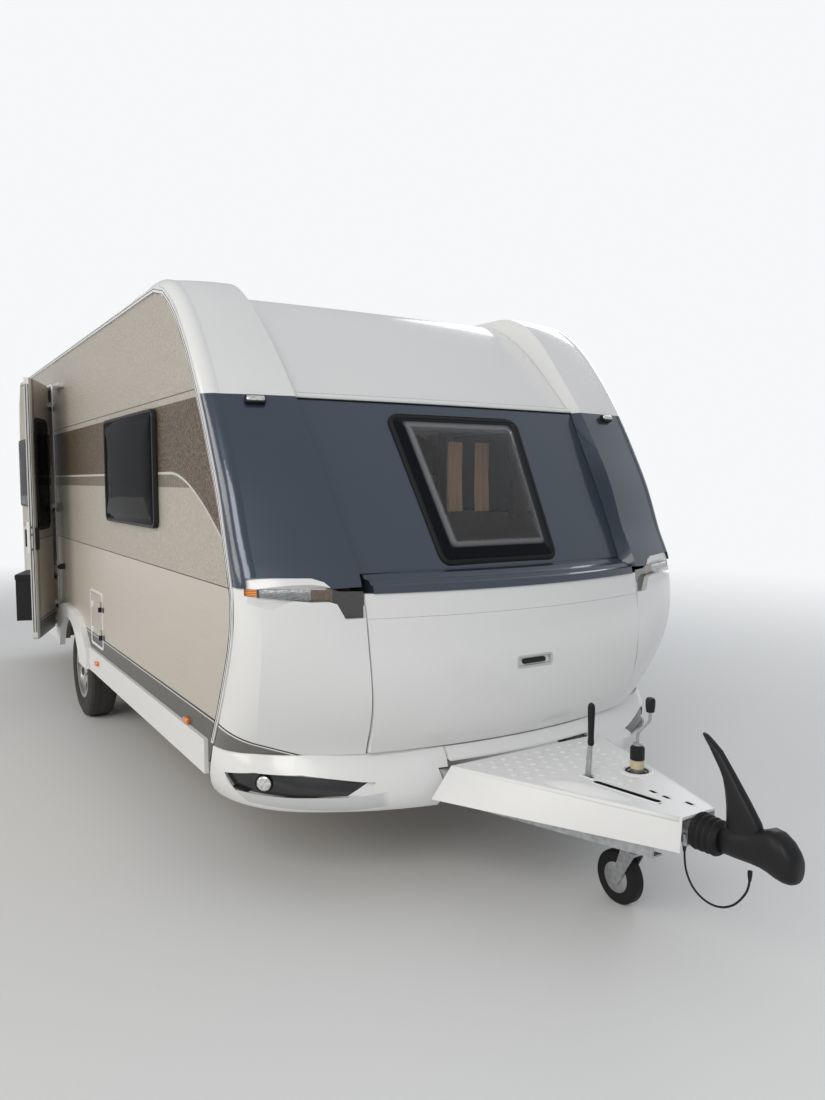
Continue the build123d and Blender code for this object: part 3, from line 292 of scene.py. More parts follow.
# Lower corner mouldings: the skirt's band goes on over them, and falls away towards the front
corner = gelcoat("corner_paint")
reach = (corner.x - 2.99).op("MAXIMUM", 0)
above = corner.z - (0.692 - (reach * reach * 1.2 + reach * 0.13))
color = corner.mix(above.over(-0.012).flip(), corner.grime(WHITE), SKIRT)
corner.set("Base Color", corner.mix(above.within(-0.0045, 0.0045), color, INK))

# Front bumper: white with a black insert and a satin lip below it on each side, both drawn by straight edges
# over run, the distance along the bumper from its wheel's end, and height
bumper = Mat("bumper_paint", WHITE, 0.26, "gelcoat_white", Coat_Weight=0.4, Coat_Roughness=0.08)
run = (bumper.x - 2.900) * 0.63 - (bumper.y.op("ABSOLUTE") - 1.15) * 0.777
height = bumper.z


def edge(start, slope, z):
    """Height of a straight edge that goes through z at start."""
    return (run - start) * slope + z


slant = edge(0.09, -1.2, 0.497)
slot_top = edge(0.09, 0.164, 0.497).op("MINIMUM", (run - 0.42).op("MAXIMUM", 0) * -0.13 + 0.520)
slot_low = slant.op("MAXIMUM", 0.437).op("MAXIMUM", edge(0.64, 0.7, 0.436))
slot_end = (height - 0.44) * 1.6 + 0.60
insert = (slot_top - height).over(0) * (height - slot_low).over(0) * run.over(0.10) * (slot_end - run).over(0)
lip_low = edge(0.10, -0.7125, 0.462)
for other in (edge(0.25, -0.04, 0.392), edge(0.68, 0.083, 0.386), edge(0.80, 1.057, 0.396)):
    lip_low = lip_low.op("MAXIMUM", other)
lip_top = slot_low.op("MINIMUM", (run - 0.64).op("MAXIMUM", 0) * 0.12 + 0.4375).op("MAXIMUM", slant)
lip = (height - lip_low).over(0) * (lip_top - height).over(0, 0.004) * run.within(0.10, 0.74, 0.03)
lip_tone = bumper.mix(bumper.noise(500, 1), (0.60, 0.605, 0.60), (0.68, 0.685, 0.68))
bumper.set("Base Color", bumper.mix(insert, bumper.mix(lip, bumper.grime(WHITE), lip_tone), BLACK))
bumper.set("Metallic", lip * 0.25)
bumper.bump(bumper.noise(7, 3) + bumper.noise(500, 2) * insert * 0.3, 0.0012, 0.35)

plastic_white = Mat("moulded_white", (0.80, 0.80, 0.79), 0.36, "white_plastic")
plastic_white.set("Base Color", plastic_white.grime((0.80, 0.80, 0.79), 0.6, 0.3))
plastic_white.bump(plastic_white.noise(420, 2), 0.0002, 0.5)
plastic_black = finish("moulded_black", (0.010, 0.010, 0.011), 0.42, "black_plastic", ("noise", 600, 2),
                       0.00025, 0.6, Specular_IOR_Level=0.3)
rubber = finish("rubber", (0.010, 0.010, 0.010), 0.62, "rubber_black", ("noise", 300, 3), 0.0003, 0.6,
                Specular_IOR_Level=0.3)
# near black and almost without gloss: painted shade, which fills the drawbar cover's slots
slot_shadow_black = finish("slot_shadow_black", (0.004, 0.004, 0.004), 0.9, "black_plastic", ("noise", 300, 2), 0.0002, 0.5,
                    Specular_IOR_Level=0.1)

# Tyres: worn tread with four grooves and sipes, ribbed shoulder and fine rings on the sidewall
tyre = Mat("tyre_rubber", (0.026, 0.025, 0.024), 0.72, "tyre_black")
tyre.set("Base Color", tyre.mix(tyre.noise(14, 4), (0.020, 0.020, 0.020), (0.055, 0.051, 0.045)))
wheel_up = tyre.z - WHEEL_Z
radius = (tyre.x * tyre.x + wheel_up * wheel_up).op("SQRT")
turn = tyre.math("ARCTAN2", wheel_up, tyre.x)
side_on = (tyre.y.op("ABSOLUTE") - 1.02).op("ABSOLUTE")
tread = radius.over(0.3165, 0.004)
grooves = (side_on.within(0.020, 0.028, 0.002) + side_on.within(0.054, 0.061, 0.002)).op("MINIMUM", 1)
sipes = (turn * 76 + side_on * 160).op("SINE").over(0.72, 0.2) * side_on.within(0.030, 0.090, 0.002)
rings = (radius * 900).op("SINE").over(0.2, 0.5) * radius.within(0.215, 0.245, 0.003) * 0.35
shoulder = (turn * 120).op("SINE").over(0.5, 0.3) * radius.within(0.288, 0.314, 0.002) * 0.5
relief = 1 - (grooves + sipes * 0.7).op("MINIMUM", 1) * tread
tyre.bump(relief + rings + shoulder + tyre.noise(160, 3) * 0.12, 0.006, 0.9)

alloy = finish("wheel_paint", (0.60, 0.60, 0.595), 0.30, "wheel_silver", ("noise", 500, 1), 0.0001, 0.4,
               (("noise", 16, 4), (0.64, 0.64, 0.63), (0.50, 0.49, 0.475)), Metallic=0.85)
zinc = finish("galvanised", (0.45, 0.46, 0.47), 0.42, "galvanised", ("cells", 60), 0.0004, 0.5,
              (("cells", 45), (0.36, 0.37, 0.38), (0.56, 0.57, 0.58)), Metallic=0.9)
rail = finish("white_rail", (0.78, 0.78, 0.77), 0.30, "white_rail", ("noise", 40, 2, (0.2, 1, 1)), 0.0003,
              0.5, (("noise", 30, 3), (0.76, 0.76, 0.75), (0.81, 0.81, 0.80)))
liner = finish("wheel_liner", (0.06, 0.06, 0.062), 0.7, "grey_liner", ("noise", 220, 3), 0.0006, 0.7)
board = finish("light_board", (0.45, 0.34, 0.24), 0.45, "furniture", ("noise", 60, 3, (1, 1, 0.1)), 0.0002,
               0.4, (("noise", 14, 6, (1, 1, 0.12)), (0.38, 0.28, 0.19), (0.55, 0.43, 0.31)))
cabin_floor = finish("floor_covering", (0.30, 0.24, 0.18), 0.5, "floor_board", ("noise", 50, 3, (0.1, 1, 1)),
                     0.0003, 0.4, (("noise", 10, 6, (0.12, 1, 1)), (0.24, 0.18, 0.13), (0.38, 0.31, 0.24)))

# Hinged panes: smoked acrylic over their openings, with a black printed edge
PRINT = 0.02                                 # how far the print reaches in from the opening's edge
acrylic = Mat("smoked_acrylic", (0.10, 0.105, 0.11), 0.03, "acrylic_dark", IOR=1.05)
clear = acrylic.x.over(-2.40).flip() * acrylic.y.within(-0.58, 0.58) * acrylic.z.within(1.44, 1.93)
for _, side, x0, x1, z0, z1 in SIDE_PANES:
    hole = acrylic.x.within(x0 + PRINT, x1 - PRINT) * acrylic.z.within(z0 + PRINT, z1 - PRINT)
    clear = clear + hole * (acrylic.y * side).over(0)
acrylic.set("Base Color", acrylic.mix(clear, (0.006, 0.006, 0.007), (0.11, 0.113, 0.12)))
acrylic.set("Transmission Weight", clear * 0.93)
acrylic.bump(acrylic.noise(3, 2), 0.004, 0.5)

# Front pane: clear in the middle, printed black towards its edge
front_glass = Mat("front_acrylic", (0.5, 0.5, 0.5), 0.03, "acrylic_dark", IOR=1.22)
half = (front_glass.z - PANE_FOOT) * PANE_SPREAD + 0.235
middle = (front_glass.y.op("ABSOLUTE") - half).over(0, 0.03).flip() * front_glass.z.within(1.385, 1.895, 0.03)
front_glass.set("Base Color", front_glass.mix(middle, (0.004, 0.005, 0.007), (0.62, 0.63, 0.65)))
front_glass.set("Transmission Weight", middle * 0.97)
front_glass.bump(front_glass.noise(3, 2), 0.003, 0.4)
hatch_glass = finish("hatch_acrylic", (0.72, 0.74, 0.75), 0.12, "white_plastic", ("noise", 40, 2), 0.0006,
                     0.5, Transmission_Weight=0.25)

# Front lamps, from the wall's side: dark end, amber, divider, clear reflector, smoked part and black step
LAMP_FOOT = 1.236
SMOKED_FROM, BLACK_FROM = 0.905, 0.830       # distance from the middle, inwards
DIVIDER_FROM, AMBER_FROM = 1.082, 1.090      # and outwards
lens_front = Mat("front_lamp", (0.8, 0.8, 0.78), 0.10, "lamp_clear", Coat_Weight=1.0, Coat_Roughness=0.03)
aside = lens_front.y.op("ABSOLUTE")
flutes = (lens_front.z * 700 + aside * 90).op("SINE") * 0.5 + 0.5
facets = lens_front.cells(70)
smoked = lens_front.mix(facets, (0.07, 0.045, 0.028), (0.16, 0.11, 0.07))
amber = lens_front.mix(flutes, (0.85, 0.30, 0.03), (0.50, 0.13, 0.01))
color = lens_front.mix(facets, (0.88, 0.89, 0.90), (0.34, 0.345, 0.35))
for share, tone in (
        (lens_front.z.over(LAMP_FOOT, 0.010).flip() * 0.75, (0.16, 0.16, 0.165)),
        (aside.over(SMOKED_FROM).flip(), smoked),
        (aside.over(BLACK_FROM).flip(), (0.014, 0.014, 0.015)),
        (aside.over(DIVIDER_FROM), (0.02, 0.02, 0.021)),
        (aside.over(AMBER_FROM), amber)):
    color = lens_front.mix(share, color, tone)
lens_front.set("Base Color", color)
lens_front.set("Metallic", aside.within(SMOKED_FROM, DIVIDER_FROM) * 0.85)
lens_front.bump(facets + flutes * 0.4, 0.002, 0.6)

lens_clear = finish("lamp_clear", (0.80, 0.80, 0.78), 0.12, "lamp_clear", ("cells", 120), 0.001, 0.6,
                    (("cells", 90), (0.92, 0.92, 0.90), (0.42, 0.42, 0.42)), Metallic=0.4, Coat_Weight=1.0)
lens_amber = finish("lamp_amber", (0.85, 0.22, 0.02), 0.12, None, ("cells", 200), 0.0008, 0.5,
                    (("cells", 160), (0.90, 0.26, 0.02), (0.62, 0.13, 0.01)), Coat_Weight=1.0)
lens_red = finish("lamp_red", (0.42, 0.015, 0.012), 0.12, "lamp_red", ("cells", 180), 0.0008, 0.5,
                  Coat_Weight=1.0)
trim = finish("brushed_trim", (0.60, 0.60, 0.59), 0.30, "galvanised", ("noise", 300, 2, (0.05, 1, 4)), 0.0002,
              0.5, (("noise", 60, 3, (0.1, 1, 6)), (0.50, 0.50, 0.49), (0.70, 0.70, 0.69)), Metallic=0.9)
satin = finish("satin_silver", (0.62, 0.625, 0.62), 0.34, "wheel_silver", ("noise", 700, 1), 0.00015, 0.4,
               (("noise", 500, 1), (0.56, 0.56, 0.555), (0.70, 0.70, 0.695)), Metallic=0.55)
cream = finish("cream_band", (0.66, 0.56, 0.36), 0.5, None, ("noise", 400, 2), 0.0002, 0.5,
               (("noise", 60, 3), (0.70, 0.60, 0.39), (0.52, 0.43, 0.27)))
dark_stone = finish("worktop_laminate", (0.06, 0.058, 0.055), 0.3, "furniture", ("noise", 300, 2), 0.0002,
                    0.4, (("cells", 220), (0.045, 0.043, 0.041), (0.14, 0.135, 0.13)))


def cloth(name, light_tone, dark_tone, scale=620, **more):
    mat = Mat(name, light_tone, 0.9, "cushion", **more)
    warp = (mat.z * scale).op("SINE") * 0.5 + 0.5
    weft = ((mat.x + mat.y) * scale).op("SINE") * 0.5 + 0.5
    weave = (warp * weft + mat.noise(45, 3) * 0.6).op("MINIMUM", 1)
    mat.set("Base Color", mat.mix(weave, dark_tone, light_tone))
    mat.bump(weave, 0.0005, 0.7)
    return mat


curtain_cloth = cloth("curtain_weave", (0.60, 0.53, 0.44), (0.46, 0.40, 0.33), Sheen_Weight=0.2)
curtain_warm = cloth("curtain_front_weave", (0.85, 0.58, 0.36), (0.62, 0.38, 0.21), Sheen_Weight=0.2,
                     Transmission_Weight=0.1)
fabric = cloth("upholstery", (0.50, 0.45, 0.38), (0.34, 0.295, 0.24), 900, Sheen_Weight=0.3)
ticking = cloth("mattress_ticking", (0.74, 0.71, 0.66), (0.58, 0.55, 0.50), 700, Sheen_Weight=0.2)
piping = cloth("seam_piping", (0.26, 0.22, 0.18), (0.17, 0.145, 0.12), 1500)

PAINT = {
    wall_right: "side_wall_right side_wall_left service_flap",
    wall_door: "door_panel",
    white: "roof_panel rear_shell front_panel_white locker_header locker_lid rear_bumper",
    bumper: "front_bumper",
    pillar: "front_pillar_right front_pillar_left",
    corner: "front_corner_right front_corner_left",
    dark: "front_panel_dark front_ledge",
    liner: "wheel_housings",
    cabin_floor: "floor",
    board: "locker_bulkhead kitchen_block",
    fabric: "rear_bed front_seats",
    zinc: "chassis_rail_right chassis_rail_left cross_members axle_beam swing_arms corner_steadies "
          "overrun_housing jockey_clamp jockey_tube jockey_fork",
    tyre: "tyre_right tyre_left",
    alloy: "rim_right rim_left",
    plastic_white: "drawbar_cover arch_trims roof_hatches",
    plastic_black: "coupling_head coupling_handle handbrake_lever jockey_crank hinge_leaves door_bin "
                   "door_handle",
    rubber: "bellows jockey_wheel breakaway_cable",
    rail: "side_sills edge_rails",
    acrylic: "side_windows rear_window door_window",
    front_glass: "front_window",
    lens_front: "front_lamps",
    lens_clear: "awning_light",
    lens_red: "rear_lamps",
}
for mat, names in PAINT.items():
    for name in names.split():
        node = NODES[name]
        node.data.materials.clear()
        node.data.materials.append(mat.made)
        for face in node.data.polygons:
            face.material_index = 0


# Building pieces
def dressed(obj, mat, body="caravan"):
    obj.data.materials.append(mat.made)
    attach(obj, body)
    return obj


def circle(n):
    """Cosine and sine of n even steps round a circle."""
    return [(math.cos(math.tau * k / n), math.sin(math.tau * k / n)) for k in range(n)]


def rounded(u0, u1, v0, v1, radius, steps=5):
    """Points of a rounded rectangle, anticlockwise."""
    radius = max(min(radius, 0.49 * (u1 - u0), 0.49 * (v1 - v0)), 0.001)
    points = []
    for cu, cv, start in ((u1 - radius, v1 - radius, 0), (u0 + radius, v1 - radius, 1),
                          (u0 + radius, v0 + radius, 2), (u1 - radius, v0 + radius, 3)):
        for i in range(steps + 1):
            turn = (start + i / steps) * math.pi / 2
            points.append((cu + radius * math.cos(turn), cv + radius * math.sin(turn)))
    return points


class Form:
    """Closed solids gathered into one piece, in points measured from the road under the axle.

    A face is a function that places a point: u and v run over it, and lift stands off it.
    """

    def __init__(self, place=at):
        self.place, self.verts, self.faces = place, [], []

    def loft(self, rings, closed=False):
        """Skin over rings of equally many points. Closed joins last to first, else the ends are capped."""
        n, first, count = len(rings[0]), len(self.verts), len(rings)
        for ring in rings:
            self.verts += [self.place(*p) for p in ring]
        for i in range(count if closed else count - 1):
            a, b = first + i * n, first + (i + 1) % count * n
            self.faces += [(a + j, a + (j + 1) % n, b + (j + 1) % n, b + j) for j in range(n)]
        if not closed:
            self.faces.append(tuple(range(first + n - 1, first - 1, -1)))
            self.faces.append(tuple(range(first + (count - 1) * n, first + count * n)))
        return self

    def box(self, x0, x1, y0, y1, z0, z1):
        return self.loft([[(x0, y0, z), (x1, y0, z), (x1, y1, z), (x0, y1, z)] for z in (z0, z1)])

    def pad(self, face, u0, u1, v0, v1, radius, steps, closed=False):
        """A block with round corners. A step is how far in from the outline and how high a ring lies."""
        return self.loft([[face(u, v, lift) for u, v in rounded(u0 + e, u1 - e, v0 + e, v1 - e, radius)]
                          for e, lift in steps], closed)

    def rim(self, face, u0, u1, v0, v1, radius, section, closed=True):
        """A frame with round corners. A point of its section is how far out and how high it lies."""
        return self.loft([[face(u, v, lift) for u, v in rounded(u0 - e, u1 + e, v0 - e, v1 + e, radius + e)]
                          for e, lift in section], closed)

    def round(self, centre, axis, profile, n=24, squeeze=1.0):
        """A turned solid. profile gives distance along the axis and radius."""
        axis = Vector(axis).normalized()
        u = axis.cross(Vector((0, 0, 1)) if abs(axis.z) < 0.9 else Vector((1, 0, 0))).normalized()
        v = axis.cross(u)
        return self.loft([[tuple(Vector(centre) + axis * along + (u * c * squeeze + v * s) * radius)
                           for c, s in circle(n)] for along, radius in profile])

    def piece(self, name, mat, body="caravan", bevel=0.0, subdivide=0, sharp=38):
        mesh = bpy.data.meshes.new(name)
        mesh.from_pydata(self.verts, [], self.faces)
        bm = bmesh.new()
        bm.from_mesh(mesh)
        bmesh.ops.recalc_face_normals(bm, faces=bm.faces)
        bm.to_mesh(mesh)
        bm.free()
        for face in mesh.polygons:
            face.use_smooth = True
        mesh.set_sharp_from_angle(angle=math.radians(sharp))
        obj = linked(name, mesh)
        if bevel:
            edge = obj.modifiers.new("edges", "BEVEL")
            edge.width, edge.segments, edge.limit_method = bevel, 2, "ANGLE"
            edge.angle_limit = math.radians(sharp)
        if subdivide:
            smooth = obj.modifiers.new("smooth", "SUBSURF")
            smooth.levels = smooth.render_levels = subdivide
        return dressed(obj, mat, body)


def curve(name, runs, kind, radius, roundness, mat):
    """A round line through each run of points."""
    data = bpy.data.curves.new(name, "CURVE")
    data.dimensions = "3D"
    data.bevel_depth = radius
    data.bevel_resolution = roundness
    for run in runs:
        spline = data.splines.new(kind)
        spline.points.add(len(run) - 1)
        for point, spot in zip(spline.points, run):
            point.co = (*at(*spot), 1)
        if kind == "NURBS":
            spline.order_u = 3
            spline.use_endpoint_u = True
    return dressed(linked(name, data), mat)


def on_right(u, v, lift):
    return (u, -HALF - lift, v)


def on_left(u, v, lift):
    return (u, HALF + lift, v)


def facing_back(x):
    return lambda u, v, lift: (x - lift, u, v)


def on_door(x, y, z):
    """A point of the door, given where it is with the door shut."""
    dx, dy = x - DOOR_PIN[0], y - DOOR_PIN[1]
    cos, sin = math.cos(DOOR_TURN), math.sin(DOOR_TURN)
    return at(DOOR_PIN[0] + dx * cos - dy * sin, DOOR_PIN[1] + dx * sin + dy * cos, z)


def door_inside(u, v, lift):
    return (u, -1.118 + lift, v)


# Breakaway cable, on the route of its CAD solid
ROUTE = [(4.362, -0.026, 0.440), (4.362, -0.026, 0.400), (4.378, -0.034, 0.354), (4.414, -0.041, 0.315),
         (4.466, -0.045, 0.296), (4.518, -0.044, 0.298), (4.564, -0.040, 0.322), (4.596, -0.034, 0.362),
         (4.612, -0.026, 0.402), (4.612, -0.026, 0.440)]
CABLE = 0.007
cable = curve("breakaway_line", [ROUTE], "NURBS", CABLE / 2, 4, rubber)
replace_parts(cable, "breakaway_cable")
SLEEVE = [(0, 0.0075), (0.012, 0.0075), (0.03, 0.0050), (0.034, 0.0042)]
ends = Form()
for x in (ROUTE[0][0], ROUTE[-1][0]):
    ends.round((x, -0.026, 0.452), (0, 0, -1), SLEEVE, 16)
ends = ends.piece("breakaway_ends", plastic_black, bevel=0.0006)

# Windows: a black frame round each pane, a dome over it and a grey stay at each lower corner
FRAME = [(0.0183, 0.001), (0.0215, 0.001), (0.0215, 0.020), (0.019, 0.0245), (0.008, 0.0245), (0.006, 0.0222),
         (0.0183, 0.0222)]
DOME = [(0.004, 0.0222), (-0.010, 0.0250), (-0.040, 0.0290), (-0.090, 0.0315), (-0.160, 0.0325)]
REAR_PANE = (-0.6, 0.6, 1.42, 1.95)
frames, stays, domes = Form(), Form(), Form()
for name, side, x0, x1, z0, z1 in SIDE_PANES:
    wall = on_right if side < 0 else on_left
    frames.rim(wall, x0, x1, z0, z1, 0.022, FRAME)
    domes.rim(wall, x0, x1, z0, z1, 0.022, DOME, closed=False)
    for x in (x0 + 0.12, x1 - 0.12):
        y0, y1 = sorted((side * (HALF - 0.008), side * (HALF - 0.022)))
        stays.box(x - 0.024, x + 0.024, y0, y1, z0 + 0.03, z0 + 0.052)
        stays.box(x - 0.006, x + 0.006, y0, y1, z0 + 0.05, z0 + 0.12)
frames.rim(facing_back(-2.42), *REAR_PANE, 0.04, FRAME)
domes.rim(facing_back(-2.42), *REAR_PANE, 0.022, DOME, closed=False)
frames.piece("window_frames", plastic_black)
domes.piece("window_domes", acrylic, sharp=60)
stays.piece("window_stays", trim, bevel=0.003)


def curtain(name, start, end, foot, top, folds, depth, mat):
    """A gathered curtain from one point of the plan to another, which waves along depth."""
    b0, b1, t0, t1 = (Vector((*spot, z)) for z in (foot, top) for spot in (start, end))
    depth = Vector(depth)
    across, up = folds * 8, 14
    verts, faces = [], []
    for j in range(up + 1):
        v = j / up
        for i in range(across + 1):
            u = i / across
            swing = math.sin(u * folds * math.tau + 0.5 * math.sin(3 * v + folds))
            swing += 0.3 * math.sin(u * folds * 3.1 + 2 * v)
            verts.append(at(*b0.lerp(b1, u).lerp(t0.lerp(t1, u), v) + depth * swing * (1 - 0.35 * v)))
    for j in range(up):
        for i in range(across):
            a = j * (across + 1) + i
            faces.append((a, a + 1, a + across + 2, a + across + 1))
    mesh = bpy.data.meshes.new(name)
    mesh.from_pydata(verts, [], faces)
    for face in mesh.polygons:
        face.use_smooth = True
    obj = dressed(linked(name, mesh), mat)


# Side curtains: one at each end of a window, with a lap all round; the middle window on the left has none
LAP = 0.03
for name, side, x0, x1, z0, z1 in SIDE_PANES[:4]:
    y = side * (HALF - 0.075)
    for part, xa, xb in (("a", x0 - LAP, x0 + 0.17), ("b", x1 - 0.17, x1 + LAP)):
        curtain(f"curtain_{name}_{part}", (xa, y), (xb, y), z0 - LAP, z1 + LAP, 4, (0, 0.022, 0),
                curtain_cloth)


# Front window: seal, domed pane and two curtains behind it
def around_nose(x, y):
    """How far ahead a point lies that is at x in the middle of a front panel."""
    return math.sqrt((x + NOSE_RADIUS) ** 2 - y * y) - NOSE_RADIUS


PANE_LINE = [(1.295, 3.384), (1.612, 3.206), (1.978, 2.985)]     # z and x up the middle of the pane
PANE_MIDDLE = 1.6335
PANE_HALF, PANE_HALF_HEIGHT = 0.326, 0.3085                      # mean half width, and half height
SEAT = -0.031                                                    # where the panel's face lies behind the pane


def front_pane(y, z, lift):
    """A point on the front pane's face at that height, lifted along its normal."""
    (z0, x0), (z1, x1) = PANE_LINE[:2] if z < PANE_LINE[1][0] else PANE_LINE[1:]
    return (around_nose(x0 + (x1 - x0) * (z - z0) / (z1 - z0), y) + 0.86 * lift, y, z + 0.51 * lift)


def pane_ring(out, lift):
    """The pane's outline, which widens upwards, from a rounded rectangle of its mean width."""
    wide, high = PANE_HALF + out, PANE_HALF_HEIGHT + out
    shaped = []
    for u, v in rounded(-wide, wide, -high, high, 0.036 + max(out, -0.028)):
        z = PANE_MIDDLE + v
        shaped.append(front_pane(u * (0.300 + (z - PANE_FOOT) * PANE_SPREAD + out) / wide, z, lift))
    return shaped


SEAL = [(-0.010, 0), (0.009, 0), (0.0095, 0.005), (0.004, 0.010), (-0.006, 0.011), (-0.012, 0.006)]
BUBBLE = [(-0.003, 0.008), (-0.020, 0.012), (-0.045, 0.015), (-0.062, 0.026), (-0.085, 0.036),
          (-0.120, 0.043), (-0.180, 0.048), (-0.250, 0.050)]
seal = Form().loft([pane_ring(out, SEAT + lift) for out, lift in SEAL], closed=True)
seal.piece("front_window_seal", rubber)
BUBBLE_BACK = [(out, lift - 0.005) for out, lift in BUBBLE[::-1]]
pane = Form().loft([pane_ring(out, SEAT + lift)
                    for out, lift in BUBBLE_BACK + [(-0.001, -0.004), (-0.001, 0.005)] + BUBBLE])
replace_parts(pane.piece("front_window_pane", front_glass, sharp=60), "front_window")
for name, y0, y1 in (("front_curtain_right", 0.05, 0.14), ("front_curtain_left", 0.21, 0.30)):
    curtain(name, (2.85, y0), (2.85, y1), 1.50, 1.83, 3, (0.014, 0, 0), curtain_warm)


# White lip along the colour line, with a thin black rubber strip under it and another above it: painted
# shadow lines along the lip's edges
def colour_line(along, lift, y):
    """A point of the white panel's lower edge: along runs up the panel."""
    up, out = 0.692, 0.722
    return (around_nose(2.941 - out * along + up * lift, y), y, 1.9925 + up * along + out * lift)


LIP_STEPS = [-0.86 + 1.72 * i / 24 for i in range(25)]
LIP = [(0, -0.006), (0, 0.005), (0.003, 0.0085), (0.010, 0.0105), (0.020, 0.0095), (0.028, 0.006), (0.033, 0),
       (0.033, -0.006)]
# both strips are painted shadow: black rubber laid where the lip's edges throw thin lines of shade
lip_shadow_strips = Form()
for low, high in ((-0.005, -0.0005), (0.0332, 0.0348)):
    section = (low, -0.006), (low, 0.0015), (high, 0.0015), (high, -0.006)
    lip_shadow_strips.loft([[colour_line(along, lift, y) for along, lift in section] for y in LIP_STEPS])
Form().loft([[colour_line(along, lift, y) for along, lift in LIP] for y in LIP_STEPS]
            ).piece("colour_line_lip", white, sharp=60)
lip_shadow_strips.piece("colour_line_shadow_strips", rubber)


# Marker lamps on the upper corner mouldings
def marker_face(side):
    tilt = math.radians(31)
    across = Vector((0.20, side * -0.98, 0)).normalized()
    out = Vector((math.cos(tilt), side * 0.12, math.sin(tilt))).normalized()
    up = out.cross(across) * (1 if out.cross(across).z > 0 else -1)
    centre = Vector((2.977, side * 0.962, 1.972))
    return lambda u, v, lift: tuple(centre + across * u + up * v + out * lift)


bases, lenses = Form(), Form()
for side in (-1, 1):
    face = marker_face(side)
    bases.pad(face, -0.042, 0.042, -0.017, 0.017, 0.008, [(0, -0.012), (0, 0.002), (0.002, 0.004)])
    lenses.pad(face, -0.036, 0.036, -0.011, 0.011, 0.006,
               [(0, 0.003), (0, 0.007), (0.003, 0.011), (0.007, 0.012)])
bases.piece("marker_lamp_bases", plastic_black)
lenses.piece("marker_lamp_lenses", lens_clear)

# Thin dark seals along both edges of the white edge rails, on the wall's outline from the rear over the roof
WALL_EDGE = [
    (-2.18, 2.518), (-1.0, 2.5235), (0.5, 2.524), (1.7, 2.524), (1.95, 2.525), (2.15, 2.5245),
    (2.251, 2.523), (2.396, 2.488), (2.5, 2.425), (2.591, 2.351), (2.738, 2.180), (2.863, 1.990),
    (2.961, 1.820), (3.026, 1.70), (3.081, 1.582), (3.136, 1.428), (3.180, 1.302), (3.203, 1.22),
    (3.205, 1.15), (3.193, 1.071), (3.165, 0.99), (3.123, 0.901), (3.037, 0.737), (2.955, 0.600)]


def seal_line(inset, side):
    points = []
    for i, (x, z) in enumerate(WALL_EDGE):
        (xa, za), (xb, zb) = WALL_EDGE[max(i - 1, 0)], WALL_EDGE[min(i + 1, len(WALL_EDGE) - 1)]
        run = math.hypot(xb - xa, zb - za)
        points.append((x + (zb - za) / run * inset, side * (HALF + 0.0062), z - (xb - xa) / run * inset))
    return points


seals = [seal_line(inset, side) for side in (-1, 1) for inset in (0.0245, 0.010)]
curve("edge_rail_seals", seals, "POLY", 0.0013, 2, rubber)

# Front bumper: fog lamps
FOG_RIM = [(-0.01, 0.036), (0.006, 0.036), (0.010, 0.034), (0.010, 0.0305), (0.002, 0.030)]
FOG_LENS = [(0, 0.0295), (0.007, 0.0295), (0.011, 0.024), (0.0135, 0.014), (0.0142, 0.002)]
fog_rims, fog_glass = Form(), Form()
for side in (-1, 1):
    for form, profile in ((fog_rims, FOG_RIM), (fog_glass, FOG_LENS)):
        form.round((3.183267, side * 1.031008, 0.480), (0.74, side * 0.67, 0), profile, 32)
fog_rims.piece("fog_lamp_rims", plastic_black)
fog_glass.piece("fog_lamps", lens_clear)

# Orange side markers, door retainer, and the service flap's frame and catches
orange, retainer, flap_frame, catches = Form(), Form(), Form(), Form()
for wall in (on_right, on_left):
    for x, z, proud in ((2.611, 0.609, 0), (0.86, 0.535, 0.018), (-2.05, 0.535, 0.018)):
        orange.pad(wall, x - 0.030, x + 0.030, z - 0.013, z + 0.013, 0.012,
                   [(0, 0.001 + proud), (0, 0.012 + proud), (0.004, 0.017 + proud), (0.009, 0.018 + proud)])
orange.piece("side_markers", lens_amber)
retainer.box(-0.285, -0.255, -1.185, -1.1503, 1.015, 1.055).box(-0.28, -0.26, -1.20, -1.183, 1.02, 1.045)
retainer.piece("door_retainer", plastic_black, bevel=0.004)
flap_frame.rim(on_right, 0.632, 0.938, 0.642, 0.958, 0.012,
               [(0, 0.0005), (0.018, 0.0005), (0.017, 0.004), (0.001, 0.004)])
flap_frame.piece("flap_frame", rail)
for z in (0.72, 0.88):
    catches.pad(on_right, 0.656, 0.682, z - 0.018, z + 0.018, 0.007,
                [(0, -0.001), (0, 0.006), (0.003, 0.009)])
catches.piece("flap_catches", plastic_white, "flap")


# Locker lid's recessed handle
def on_lid(u, v, lift):
    return (1.15 + math.sqrt(2.4145 ** 2 - u * u) + lift, u, v)


handle_rim = Form().rim(on_lid, -0.089, 0.089, 0.894, 0.936, 0.010, [
    (-0.004, -0.012), (0.005, -0.002), (0.006, 0.002), (0.001, 0.004), (-0.004, 0.002)])
handle_rim.piece("lid_handle_rim", satin, "lid")
grip = Form().pad(on_lid, -0.060, 0.060, 0.905, 0.925, 0.009, [(0, -0.012), (0, -0.004), (0.003, -0.001)])
grip.piece("lid_handle_grip", plastic_black, "lid")

